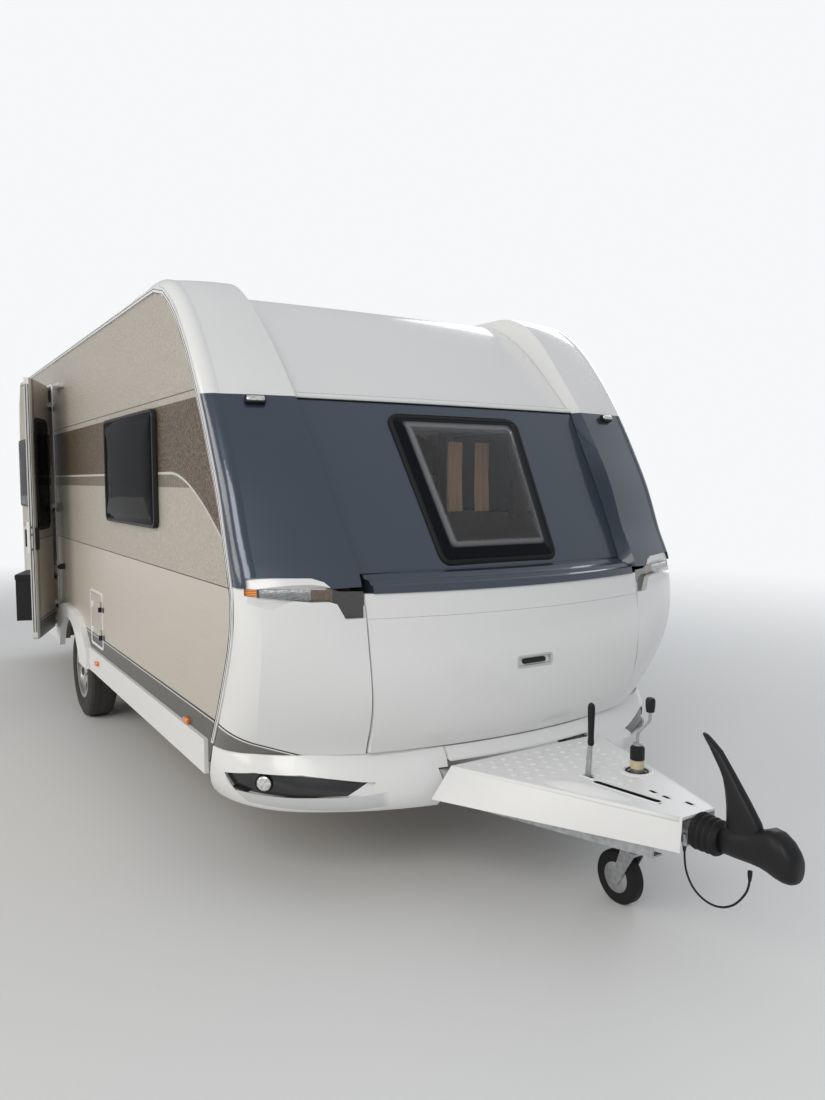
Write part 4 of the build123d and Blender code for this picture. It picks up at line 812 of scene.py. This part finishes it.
# Entrance door, drawn shut: window frames, blind, lock, latch cover and its grip, seals and linings
door_black, door_white, door_metal = Form(on_door), Form(on_door), Form(on_door)
door_black.rim(on_right, -1.02, -0.69, 1.33, 2.06, 0.04,
               [(-0.004, 0.001), (0.022, 0.001), (0.023, 0.010), (0.016, 0.014), (-0.004, 0.013)])
door_white.rim(door_inside, -1.05, -0.66, 1.29, 2.10, 0.03,
               [(-0.045, 0.0005), (0, 0.0005), (0, 0.016), (-0.006, 0.022), (-0.040, 0.022), (-0.045, 0.016)])
for z in (1.40, 1.46, 1.52, 1.58):
    door_white.box(-1.005, -0.705, -1.112, -1.106, z, z + 0.050)
for y in (-1.144, -1.128):
    door_black.box(-1.1535, -1.1495, y - 0.0022, y + 0.0022, 0.62, 2.29)
door_metal.box(-1.1514, -1.1495, -1.1415, -1.1305, 1.16, 1.36)
for z in (1.185, 1.235, 1.285, 1.335):
    door_black.box(-1.1522, -1.151, -1.139, -1.133, z - 0.009, z + 0.009)
door_metal.box(-1.1530, -1.1495, -1.141, -1.131, 1.22, 1.25)
door_white.pad(door_inside, -1.115, -1.065, 1.15, 1.37, 0.012, [(0, 0.0005), (0, 0.018), (0.004, 0.022)])
door_black.pad(door_inside, -1.100, -1.080, 1.20, 1.32, 0.008, [(0, 0.020), (0, 0.034), (0.003, 0.037)])
door_white.rim(door_inside, -1.128, -0.572, 0.587, 2.316, 0.03,
               [(-0.020, 0.0005), (0, 0.0005), (0, 0.005), (-0.020, 0.005)])
door_white.box(-1.153, -1.10, -1.150, -1.119, 2.292, 2.334)
door_black.piece("door_seals", rubber, "door")
door_white.piece("door_linings", plastic_white, "door", bevel=0.0015)
door_metal.piece("door_lock", trim, "door", bevel=0.0008)
bin_rim = Form(on_door)
bin_rim.pad(lambda u, v, lift: (u, v, 0.995 + lift), -1.012, -0.678, -1.115, -0.990, 0.02,
            [(-0.0005, -0.03), (-0.008, -0.03), (-0.010, 0), (-0.004, 0.006), (-0.0005, 0.004)], closed=True)
for z in (0.72, 0.80, 0.88):
    bin_rim.loft([[(u, y, v) for u, v in rounded(-0.98 + e, -0.71 - e, z - 0.006, z + 0.006, 0.005)]
                  for e, y in ((0, -0.9887), (0.002, -0.9837))])
bin_rim.piece("door_bin_trim", plastic_black, "door")
doorway = Form().rim(on_right, -1.158, -0.542, 0.557, 2.346, 0.045, [
    (0.0005, 0.0005), (0.014, 0.0005), (0.014, 0.006), (0.008, 0.010), (0.001, 0.008)])
doorway.piece("doorway_seal", plastic_white)
Form().box(-1.16, -0.54, -1.148, -1.10, 0.540, 0.556).piece("doorway_tread", trim, bevel=0.003)

# Drawbar cover: slots, raised ovals, raised patch, rolled edges, and openings for the lever and jockey wheel
COVER_X, COVER_Z, COVER_RISE = 3.535, 0.536, 0.020 / 0.86        # start of its top, and its slope
COVER_HALF, COVER_TAPER = 0.396, 0.3675                          # half width there, and how it narrows
UP = (0, 0, 1)
JOCKEY = (3.985, 0.15)
CLEARANCE = 0.07                                                 # no ovals this near to the jockey wheel


def cover_top(x):
    return COVER_Z + (x - COVER_X) * COVER_RISE


def on_cover(u, v, lift):
    return (u, v, cover_top(u) + lift)


def cover_half(x, margin):
    return COVER_HALF - (x - COVER_X) * COVER_TAPER + margin


def stadium(x0, y0, x1, y1, wide, lift, steps=6):
    """Outline of a slot from one point to another on the cover."""
    run = Vector((x1 - x0, y1 - y0)).normalized()
    aside = Vector((-run.y, run.x))
    points = []
    for end, sign in (((x1, y1), 1), ((x0, y0), -1)):
        for i in range(steps + 1):
            turn = math.pi * (i / steps - 0.5)
            spot = Vector(end) + (run * math.cos(turn) + aside * math.sin(turn)) * sign * wide / 2
            points.append(on_cover(spot.x, spot.y, lift))
    return points


SLOTS = [                                    # from x and y, to x and y, width
    (3.993, -0.065, 4.247, -0.033, 0.026), (4.166, 0.027, 4.186, 0.024, 0.015),
    (4.229, 0.022, 4.249, 0.020, 0.015), (4.313, 0.041, 4.333, 0.038, 0.015)]
SLOT_RIM = [(0.002, -0.004), (0.012, 0.0002), (0.008, 0.003), (0.002, 0.0025)]
# each slot is a flat patch of painted shade, deep black and just proud of the cover, inside its white rim
slot_rims, slot_shadow_floors = Form(), Form()
for *line, wide in SLOTS:
    slot_rims.loft([stadium(*line, wide + more, lift) for more, lift in SLOT_RIM], closed=True)
    slot_shadow_floors.loft([stadium(*line, wide + 0.002, lift) for lift in (-0.003, 0.0007)])
slot_rims.piece("cover_slot_rims", plastic_white, sharp=60)
slot_shadow_floors.piece("cover_slots", slot_shadow_black)
OVAL_PITCH = 0.058
ovals = Form()
for i in range(9):
    x = 3.585 + i * OVAL_PITCH
    for j in range(-6, 7):
        y = j * OVAL_PITCH + (i % 2) * OVAL_PITCH / 2
        near_hole = math.hypot(x - JOCKEY[0], y - JOCKEY[1]) < CLEARANCE or (x > 3.86 and -0.26 < y < 0.0)
        if abs(y) > cover_half(x, -0.045) or near_hole:
            continue
        ovals.round(on_cover(x, y, 0), UP, [(-0.001, 0.012), (0.0024, 0.0095), (0.0036, 0.006)], 10, 1.5)
ovals.piece("cover_ovals", plastic_white, sharp=60)

# A soft raised patch by the lever that runs out along the cover's edge
rings = []
for share in (1.0, 0.93, 0.84, 0.74, 0.62, 0.48, 0.32, 0.14):
    ring = []
    for c, s in circle(40):
        along = 0.185 * share * c
        aside = 0.150 + 0.062 * share * s - along * 0.30
        ring.append(on_cover(4.02 + along, -aside, 0.022 * (1 - share * share) ** 1.5 - 0.0015))
    rings.append(ring)
Form().loft(rings).piece("cover_blister", plastic_white, sharp=80)
rolled = Form()
for side in (-1, 1):
    rolled.loft([[on_cover(x, side * (cover_half(x, -0.003) + 0.0095 * s), 0.0095 * c - 0.008)
                  for c, s in circle(16)] for x in (3.60, 3.90, 4.20, 4.385)])
rolled.piece("cover_edge_rolls", plastic_white, sharp=80)
top = cover_top(JOCKEY[0])
BULGE = [(0.074, -0.004), (0.066, 0.003), (0.058, 0.006), (0.050, 0.006), (0.046, -0.004)]
bulge = Form().loft([[(JOCKEY[0] + c * r, JOCKEY[1] + s * r, top + lift) for c, s in circle(32)]
                     for r, lift in BULGE], closed=True)
bulge.piece("cover_bulge", plastic_white, sharp=80)
collar = Form().round((*JOCKEY, top), UP, [
    (-0.01, 0.044), (0.003, 0.044), (0.005, 0.041), (0.005, 0.0385), (-0.01, 0.0385)], 32)
collar.piece("jockey_opening", rubber)
lever_gaiter = Form().pad(on_cover, 3.900, 3.960, -0.058, -0.020, 0.008, [
    (0.004, -0.006), (-0.006, 0.0002), (-0.005, 0.0035), (0.003, 0.003)], closed=True)
lever_gaiter.piece("lever_opening", plastic_white)

# Parking-brake lever: flat steel stem and a rounded grip
STEM = [                                     # x, half width, z
    (3.914, 0.012, 0.48), (3.922, 0.012, 0.60), (3.927, 0.009, 0.668), (3.929, 0.008, 0.70)]
GRIP = [(0, 0.0095), (0.004, 0.0125), (0.012, 0.0135), (0.030, 0.0120), (0.085, 0.0135), (0.125, 0.0150),
        (0.146, 0.0148), (0.156, 0.0115), (0.161, 0.005)]
stem = Form().loft([[(x - w, -0.042, z), (x + w, -0.042, z), (x + w, -0.034, z), (x - w, -0.034, z)]
                    for x, w, z in STEM])
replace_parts(stem.piece("brake_stem", zinc, bevel=0.001), "handbrake_lever")
Form().round((3.930, -0.038, 0.664), UP, GRIP, 24, 0.82).piece("brake_grip", rubber)

# Jockey wheel's crank: collar, cap, cream band, bent rod and knob
x, y = JOCKEY
COLLAR = [(0, 0.0245), (0.002, 0.0275), (0.046, 0.0275), (0.050, 0.024), (0.054, 0.020), (0.056, 0.010)]
CAP = [(0, 0.0175), (0.008, 0.0175), (0.011, 0.013), (0.012, 0.008)]
BAND = [(0, 0.0242), (0.001, 0.0262), (0.032, 0.0262), (0.033, 0.0242)]
for name, foot, profile, mat in (
        ("jockey_collar", 0.593, COLLAR, plastic_black),
        ("jockey_cap", 0.6485, CAP, zinc),
        ("jockey_band", 0.560, BAND, cream)):
    Form().round((x, y, foot), UP, profile).piece(name, mat)
ROD = [                                      # how far it leans out, z
    (0, 0.640), (0, 0.690), (0.004, 0.700), (0.034, 0.742), (0.038, 0.754), (0.038, 0.790)]
rod = Form().loft([[(x + 0.0062 * c + out, y + 0.0062 * s + out * 0.6, z) for c, s in circle(12)]
                   for out, z in ROD])
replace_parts(rod.piece("jockey_rod", zinc), "jockey_crank")
knob = Form().round((x + 0.038, y + 0.023, 0.780), UP, [
    (0, 0.008), (0.002, 0.0155), (0.022, 0.0180), (0.046, 0.0185), (0.055, 0.014), (0.0578, 0.004)])
knob.piece("jockey_knob", plastic_black)
screw = Form().round((x, y - 0.02, 0.47), (0.35, -1, 0), [(0, 0.008), (0.045, 0.008), (0.046, 0.005)], 12)
screw.box(x + 0.008, x + 0.022, y - 0.085, y - 0.065, 0.462, 0.478)
screw.piece("jockey_clamp_screw", zinc, bevel=0.001)
DISC = [(0, 0.060), (0.0012, 0.058), (0.0014, 0.030), (0.003, 0.026), (0.0035, 0.010)]
hub = Form()
for side in (-1, 1):
    hub.round((x - 0.075, y + side * 0.0245, 0.105), (0, side, 0), DISC, 32)
hub.piece("jockey_wheel_discs", zinc, "jockey_roller")


# Coupling: rounded head, tall tapering handle, bellows
def full(value, power):
    """A cosine or sine drawn out towards the corners of a square."""
    return math.copysign(abs(value) ** power, value)


def squircle(x, half_y, z0, z1, power=3.0):
    return [(x, half_y * full(c, 2 / power), (z0 + z1) / 2 + (z1 - z0) / 2 * full(s, 2 / power))
            for c, s in circle(28)]


HEAD = [                                     # x, half width, z from and to, and how square
    (4.496, 0.030, 0.462, 0.548, 2.2), (4.500, 0.034, 0.460, 0.554, 2.2), (4.550, 0.0345, 0.462, 0.560, 2.3),
    (4.606, 0.035, 0.466, 0.574, 2.4), (4.640, 0.036, 0.468, 0.588), (4.668, 0.040, 0.464, 0.602),
    (4.695, 0.0445, 0.458, 0.598), (4.722, 0.0455, 0.455, 0.580), (4.742, 0.042, 0.456, 0.560, 2.6),
    (4.754, 0.034, 0.462, 0.545, 2.4), (4.7605, 0.020, 0.472, 0.528, 2.2)]
head = Form().loft([squircle(*row) for row in HEAD])
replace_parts(head.piece("coupling_body", plastic_black, sharp=70), "coupling_head")
LEVER = [                                    # z, middle and half length along x, half width
    (0.8285, 4.4130, 0.0070, 0.0060), (0.8230, 4.4170, 0.0125, 0.0100), (0.8080, 4.4340, 0.0172, 0.0135),
    (0.7900, 4.4540, 0.0235, 0.0150), (0.7600, 4.4770, 0.0260, 0.0165), (0.7300, 4.5000, 0.0270, 0.0180),
    (0.7000, 4.5200, 0.0315, 0.0200), (0.6600, 4.5420, 0.0440, 0.0225), (0.6100, 4.5650, 0.0610, 0.0250),
    (0.5700, 4.5740, 0.0680, 0.0262), (0.5200, 4.5740, 0.0680, 0.0240)]
lever = Form().loft([[(middle + long * full(s, 0.75), wide * full(c, 0.75), z - 0.25 * long * full(s, 0.75))
                      for c, s in circle(24)] for z, middle, long, wide in LEVER])
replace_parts(lever.piece("coupling_lever", plastic_black, sharp=70), "coupling_handle")
RIB = [(0.004, 0.062), (0.009, 0.0636), (0.014, 0.061), (0.0195, 0.049), (0.0225, 0.049)]
ribs = [(0, 0.030), (0, 0.052)] + [(along + k * 0.0232, r) for k in range(4) for along, r in RIB]
ribs += [(0.0975, 0.050), (0.0975, 0.030)]
ribs = [(along, r * (1 - along * 0.9)) for along, r in ribs]
bellows = Form().round((4.398, 0, 0.5), (1, 0, 0), ribs, 40).piece("bellows_ribs", rubber, sharp=75)
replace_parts(bellows, "bellows")

# Wheels: bolts, hub caps and valves
BOLT = [(0, 0.0125), (0.004, 0.0125), (0.005, 0.0095), (0.013, 0.0095), (0.0145, 0.0075)]
HUB_CAP = [(-0.006, 0.030), (0, 0.0305), (0.003, 0.028), (0.0045, 0.020), (0.005, 0.002)]
VALVE = [(0, 0.005), (0.018, 0.005), (0.019, 0.0062), (0.027, 0.0062), (0.0285, 0.004)]
for name, side in (("right", -1), ("left", 1)):
    body = f"wheel_{name}"
    out = (0, side, 0)
    bolts = Form()
    for k in range(5):
        turn = math.tau * k / 5 + 0.31
        centre = (0.056 * math.cos(turn), side * 1.066, WHEEL_Z + 0.056 * math.sin(turn))
        bolts.round(centre, out, BOLT, 6)
    bolts.piece(f"wheel_bolts_{name}", zinc, body)
    Form().round((0, side * 1.0785, WHEEL_Z), out, HUB_CAP, 32).piece(f"hub_cap_{name}", satin, body)
    valve = Form().round((0.155, side * 1.072, WHEEL_Z), (-0.3, side, 0), VALVE, 10)
    valve.piece(f"tyre_valve_{name}", rubber, body)

# Roof: hatch frames and domes
hatch_frames, hatch_domes = Form(), Form()
for x, half in ((1.2, 0.35), (-0.9, 0.25)):
    hatch_frames.rim(lambda u, v, lift: (x + u, v, 2.59 + lift), -half, half, -half, half, 0.05,
                     [(0, -0.055), (0.012, -0.055), (0.010, 0.004), (0, 0.009), (-0.022, 0.009), (-0.026, 0)])
    hatch_domes.loft([[(x + u, v, z) for u, v in rounded(-r, r, -r, r, min(0.06, r * 0.5))]
                      for r, z in ((half - 0.028, 2.588), (half - 0.03, 2.597), (half - 0.07, 2.611),
                                   (half - 0.13, 2.618), (half - 0.20, 2.620))])
hatch_frames.piece("roof_hatch_frames", plastic_white)
hatch_domes.piece("roof_hatch_domes", hatch_glass, sharp=60)

# Rear: lamp clusters, grab handles and the blank plate's holder
lamp_rims, lamp_rows, ambers = Form(), Form(), Form()
for side in (-1, 1):
    y0, y1 = sorted((side * 0.64, side * 1.04))
    lamp_rims.rim(facing_back(-2.5115), y0, y1, 0.470, 0.560, 0.01,
                  [(0, -0.010), (0.012, -0.010), (0.011, 0.003), (0.002, 0.005), (-0.002, 0.001)])
    step = (y1 - y0) / 4
    for k, form in enumerate((lamp_rows, ambers, lamp_rows, lamp_rows)):
        low = y0 + step * k + 0.006 if side > 0 else y1 - step * (k + 1) + 0.006
        form.pad(facing_back(-2.511), low, low + step - 0.012, 0.478, 0.552, 0.012,
                 [(0, 0), (0, 0.006), (0.006, 0.012), (0.014, 0.014)])
lamp_rims.piece("rear_lamp_rims", plastic_black)
lamp_rows.piece("rear_lamp_lenses", lens_red)
ambers.piece("rear_indicator_lenses", lens_amber)
handles = Form()
for y in (-0.80, 0.80):
    for z in (0.62, 0.98):
        handles.round((-2.419, y, z), (-1, 0, 0), [(0, 0.020), (0.006, 0.018), (0.040, 0.013)], 16)
    handles.round((-2.452, y, 0.60), UP, [(0, 0.008), (0.01, 0.0125), (0.39, 0.0125), (0.40, 0.008)], 16)
handles.piece("rear_grab_handles", plastic_white)
plate = Form().pad(facing_back(-2.5005), -0.265, 0.265, 0.452, 0.572, 0.008,
                   [(0, 0), (0, 0.004), (0.003, 0.006)])
plate.piece("plate_holder", plastic_black)


# Inside: bench bases and cushions, mattress, worktop and kitchen fronts
def cushion(name, x0, x1, y0, y1, z0, z1, mat):
    """A crowned pad whose sides pull in between its corners, flat below, with piping round its upper edge."""
    middle_x, middle_y, half_x, half_y = (x0 + x1) / 2, (y0 + y1) / 2, (x1 - x0) / 2, (y1 - y0) / 2
    outline = rounded(-1, 1, -1, 1, 0.16, 10)
    rings = []
    for pull, height in ((0.010, 0.0), (0.0, 0.12), (0.0, 0.72), (0.012, 0.90), (0.040, 0.985), (0.10, 1.0)):
        ring = []
        for u, v in outline:
            inset = pull + 0.006 * (1 - u * u * v * v) * (0 < height < 1)
            droop = 0.012 * abs(u * v) ** 3 * (height > 0.8)
            ring.append((middle_x + u * (half_x - inset), middle_y + v * (half_y - inset),
                         z0 + (z1 - z0) * height - droop))
        rings.append(ring)
    Form().loft(rings).piece(name, mat, subdivide=1, sharp=180)
    z = z0 + (z1 - z0) * 0.72
    seam = Form().loft([[(middle_x + u * (half_x + out), middle_y + v * (half_y + out), z + lift)
                         for u, v in outline]
                        for out, lift in ((0, -0.003), (0.003, 0), (0, 0.003), (-0.004, 0))], closed=True)
    seam.piece(name + "_piping", piping, sharp=80)


bases = Form()
bases.box(1.20, 2.10, -1.08, -0.385, 0.551, 0.85).box(1.20, 2.10, 0.385, 1.08, 0.551, 0.85)
bases.box(2.10, 2.60, -1.08, 1.08, 0.551, 0.85).box(2.60, 2.78, -1.08, 1.08, 0.551, 0.88)
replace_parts(bases.piece("bench_bases", board, bevel=0.006), "front_seats")
cushion("seat_cushion_right", 1.21, 2.09, -1.07, -0.395, 0.851, 0.985, fabric)
cushion("seat_cushion_left", 1.21, 2.09, 0.395, 1.07, 0.851, 0.985, fabric)
cushion("seat_cushion_front", 2.11, 2.59, -1.07, 1.07, 0.851, 0.985, fabric)
bed = Form().box(-2.26, -1.30, -1.08, 1.08, 0.551, 0.84)
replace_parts(bed.piece("bed_base", board, bevel=0.006), "rear_bed")
cushion("mattress", -2.25, -1.31, -1.07, 1.07, 0.842, 0.998, ticking)
kitchen = Form()
for k in range(4):
    low = -1.14 + k * 0.36
    kitchen.pad(lambda u, v, lift: (u, 0.5598 - lift, v), low, low + 0.345, 0.76, 1.39, 0.01,
                [(0, -0.001), (0, 0.012), (0.004, 0.014)])
kitchen.piece("kitchen_fronts", plastic_white)
worktop = Form().loft([[(u, v, z) for u, v in rounded(-1.16 - e, 0.31 + e, 0.545 - e, 1.10, 0.03)]
                       for e, z in ((0, 1.441), (0.004, 1.446), (0.004, 1.462), (0, 1.466))])
worktop.piece("worktop", dark_stone)

# Floor, which fades into the backdrop's white for the rays that show it
BACKDROP = (0.925, 0.935, 0.945, 1)
FLOOR_HALF = 60
FADE_FROM, FADE_OVER = 3.6, 8.4
ground = Mat("studio_floor", (0.70, 0.70, 0.69), 0.75)
ground.set("Base Color", ground.mix(ground.noise(0.6, 2), (0.69, 0.69, 0.68), (0.72, 0.72, 0.71)))
away = ((ground.x + 0.8) * (ground.x + 0.8) + ground.y * ground.y).op("SQRT")
fade = ((away - FADE_FROM) / FADE_OVER).op("ADD", 0, clamp=True)
glow = ground.new("ShaderNodeEmission")
glow.inputs[0].default_value = BACKDROP
rays = ground.new("ShaderNodeLightPath")
seen_ray = Out(ground, rays.outputs["Is Camera Ray"]) + Out(ground, rays.outputs["Is Glossy Ray"])
seen_ray = (seen_ray + Out(ground, rays.outputs["Is Transmission Ray"])).op("MINIMUM", 1)
mixed = ground.new("ShaderNodeMixShader")
ground.feed(mixed.inputs[0], fade * fade * (3 - fade * 2) * seen_ray)
ground.link(ground.shader.outputs[0], mixed.inputs[1])
ground.link(glow.outputs[0], mixed.inputs[2])
ground.link(mixed.outputs[0], ground.tree.nodes["Material Output"].inputs[0])
mesh = bpy.data.meshes.new("studio_floor")
corners = [(x * FLOOR_HALF, y * FLOOR_HALF, -AXLE_TO_BALL.z) for x, y in ((-1, -1), (1, -1), (1, 1), (-1, 1))]
mesh.from_pydata(corners, [], [(0, 1, 2, 3)])
mesh.materials.append(ground.made)
linked("studio_floor", mesh)


# Lights
def lamp(name, place, aim, size, power, color):
    data = bpy.data.lights.new(name, "AREA")
    data.shape = "RECTANGLE"
    data.size, data.size_y = size
    data.energy = power
    data.color = color
    obj = linked(name, data)
    obj.location = place
    obj.rotation_mode = "QUATERNION"
    obj.rotation_quaternion = (Vector(aim) - Vector(place)).to_track_quat("-Z", "Y")


lamp("key", (5, -8, 7.5), (-3, 0, 0.6), (6, 5), 440, (1.0, 0.975, 0.94))
lamp("fill", (-5, -11, 4.5), (-4, 0, 0.6), (8, 4), 330, (1.0, 0.93, 0.82))
lamp("back", (-8, 9, 6), (-4, 0, 0.8), (8, 5), 280, (0.94, 0.97, 1.0))

# World: soft light on the object, and the pale backdrop for the rays that show it
world = bpy.data.worlds.new("studio")
bpy.context.scene.world = world
world.use_nodes = True
nodes, links = world.node_tree.nodes, world.node_tree.links
light = nodes["Background"]
light.inputs[0].default_value = (0.92, 0.95, 1.0, 1)
light.inputs[1].default_value = 0.55
backdrop = nodes.new("ShaderNodeBackground")
backdrop.inputs[0].default_value = BACKDROP
rays = nodes.new("ShaderNodeLightPath")
shown = nodes.new("ShaderNodeMath")
shown.operation = "MAXIMUM"
links.new(rays.outputs["Is Camera Ray"], shown.inputs[0])
links.new(rays.outputs["Is Transmission Ray"], shown.inputs[1])
blend = nodes.new("ShaderNodeMixShader")
links.new(shown.outputs[0], blend.inputs[0])
links.new(light.outputs[0], blend.inputs[1])
links.new(backdrop.outputs[0], blend.inputs[2])
links.new(blend.outputs[0], nodes["World Output"].inputs[0])

# Camera, fitted to the photograph
PHOTO_HEIGHT = 1100
FOCAL_LENGTH = 842.06                        # in the photograph's pixels
SENSOR = 36
YAW = math.radians(32.02)
PITCH = math.radians(4.654)
camera = linked("camera", bpy.data.cameras.new("camera"))
camera.data.sensor_width = SENSOR
camera.data.lens = SENSOR * FOCAL_LENGTH / PHOTO_HEIGHT
camera.data.clip_end = 200
camera.location = (1.464, -2.228, 1.157)
forward = Vector((-math.cos(YAW) * math.cos(PITCH), math.sin(YAW) * math.cos(PITCH), -math.sin(PITCH)))
camera.rotation_mode = "QUATERNION"
camera.rotation_quaternion = forward.to_track_quat("-Z", "Y")
bpy.context.scene.camera = camera
bpy.context.scene.view_settings.view_transform = "Standard"
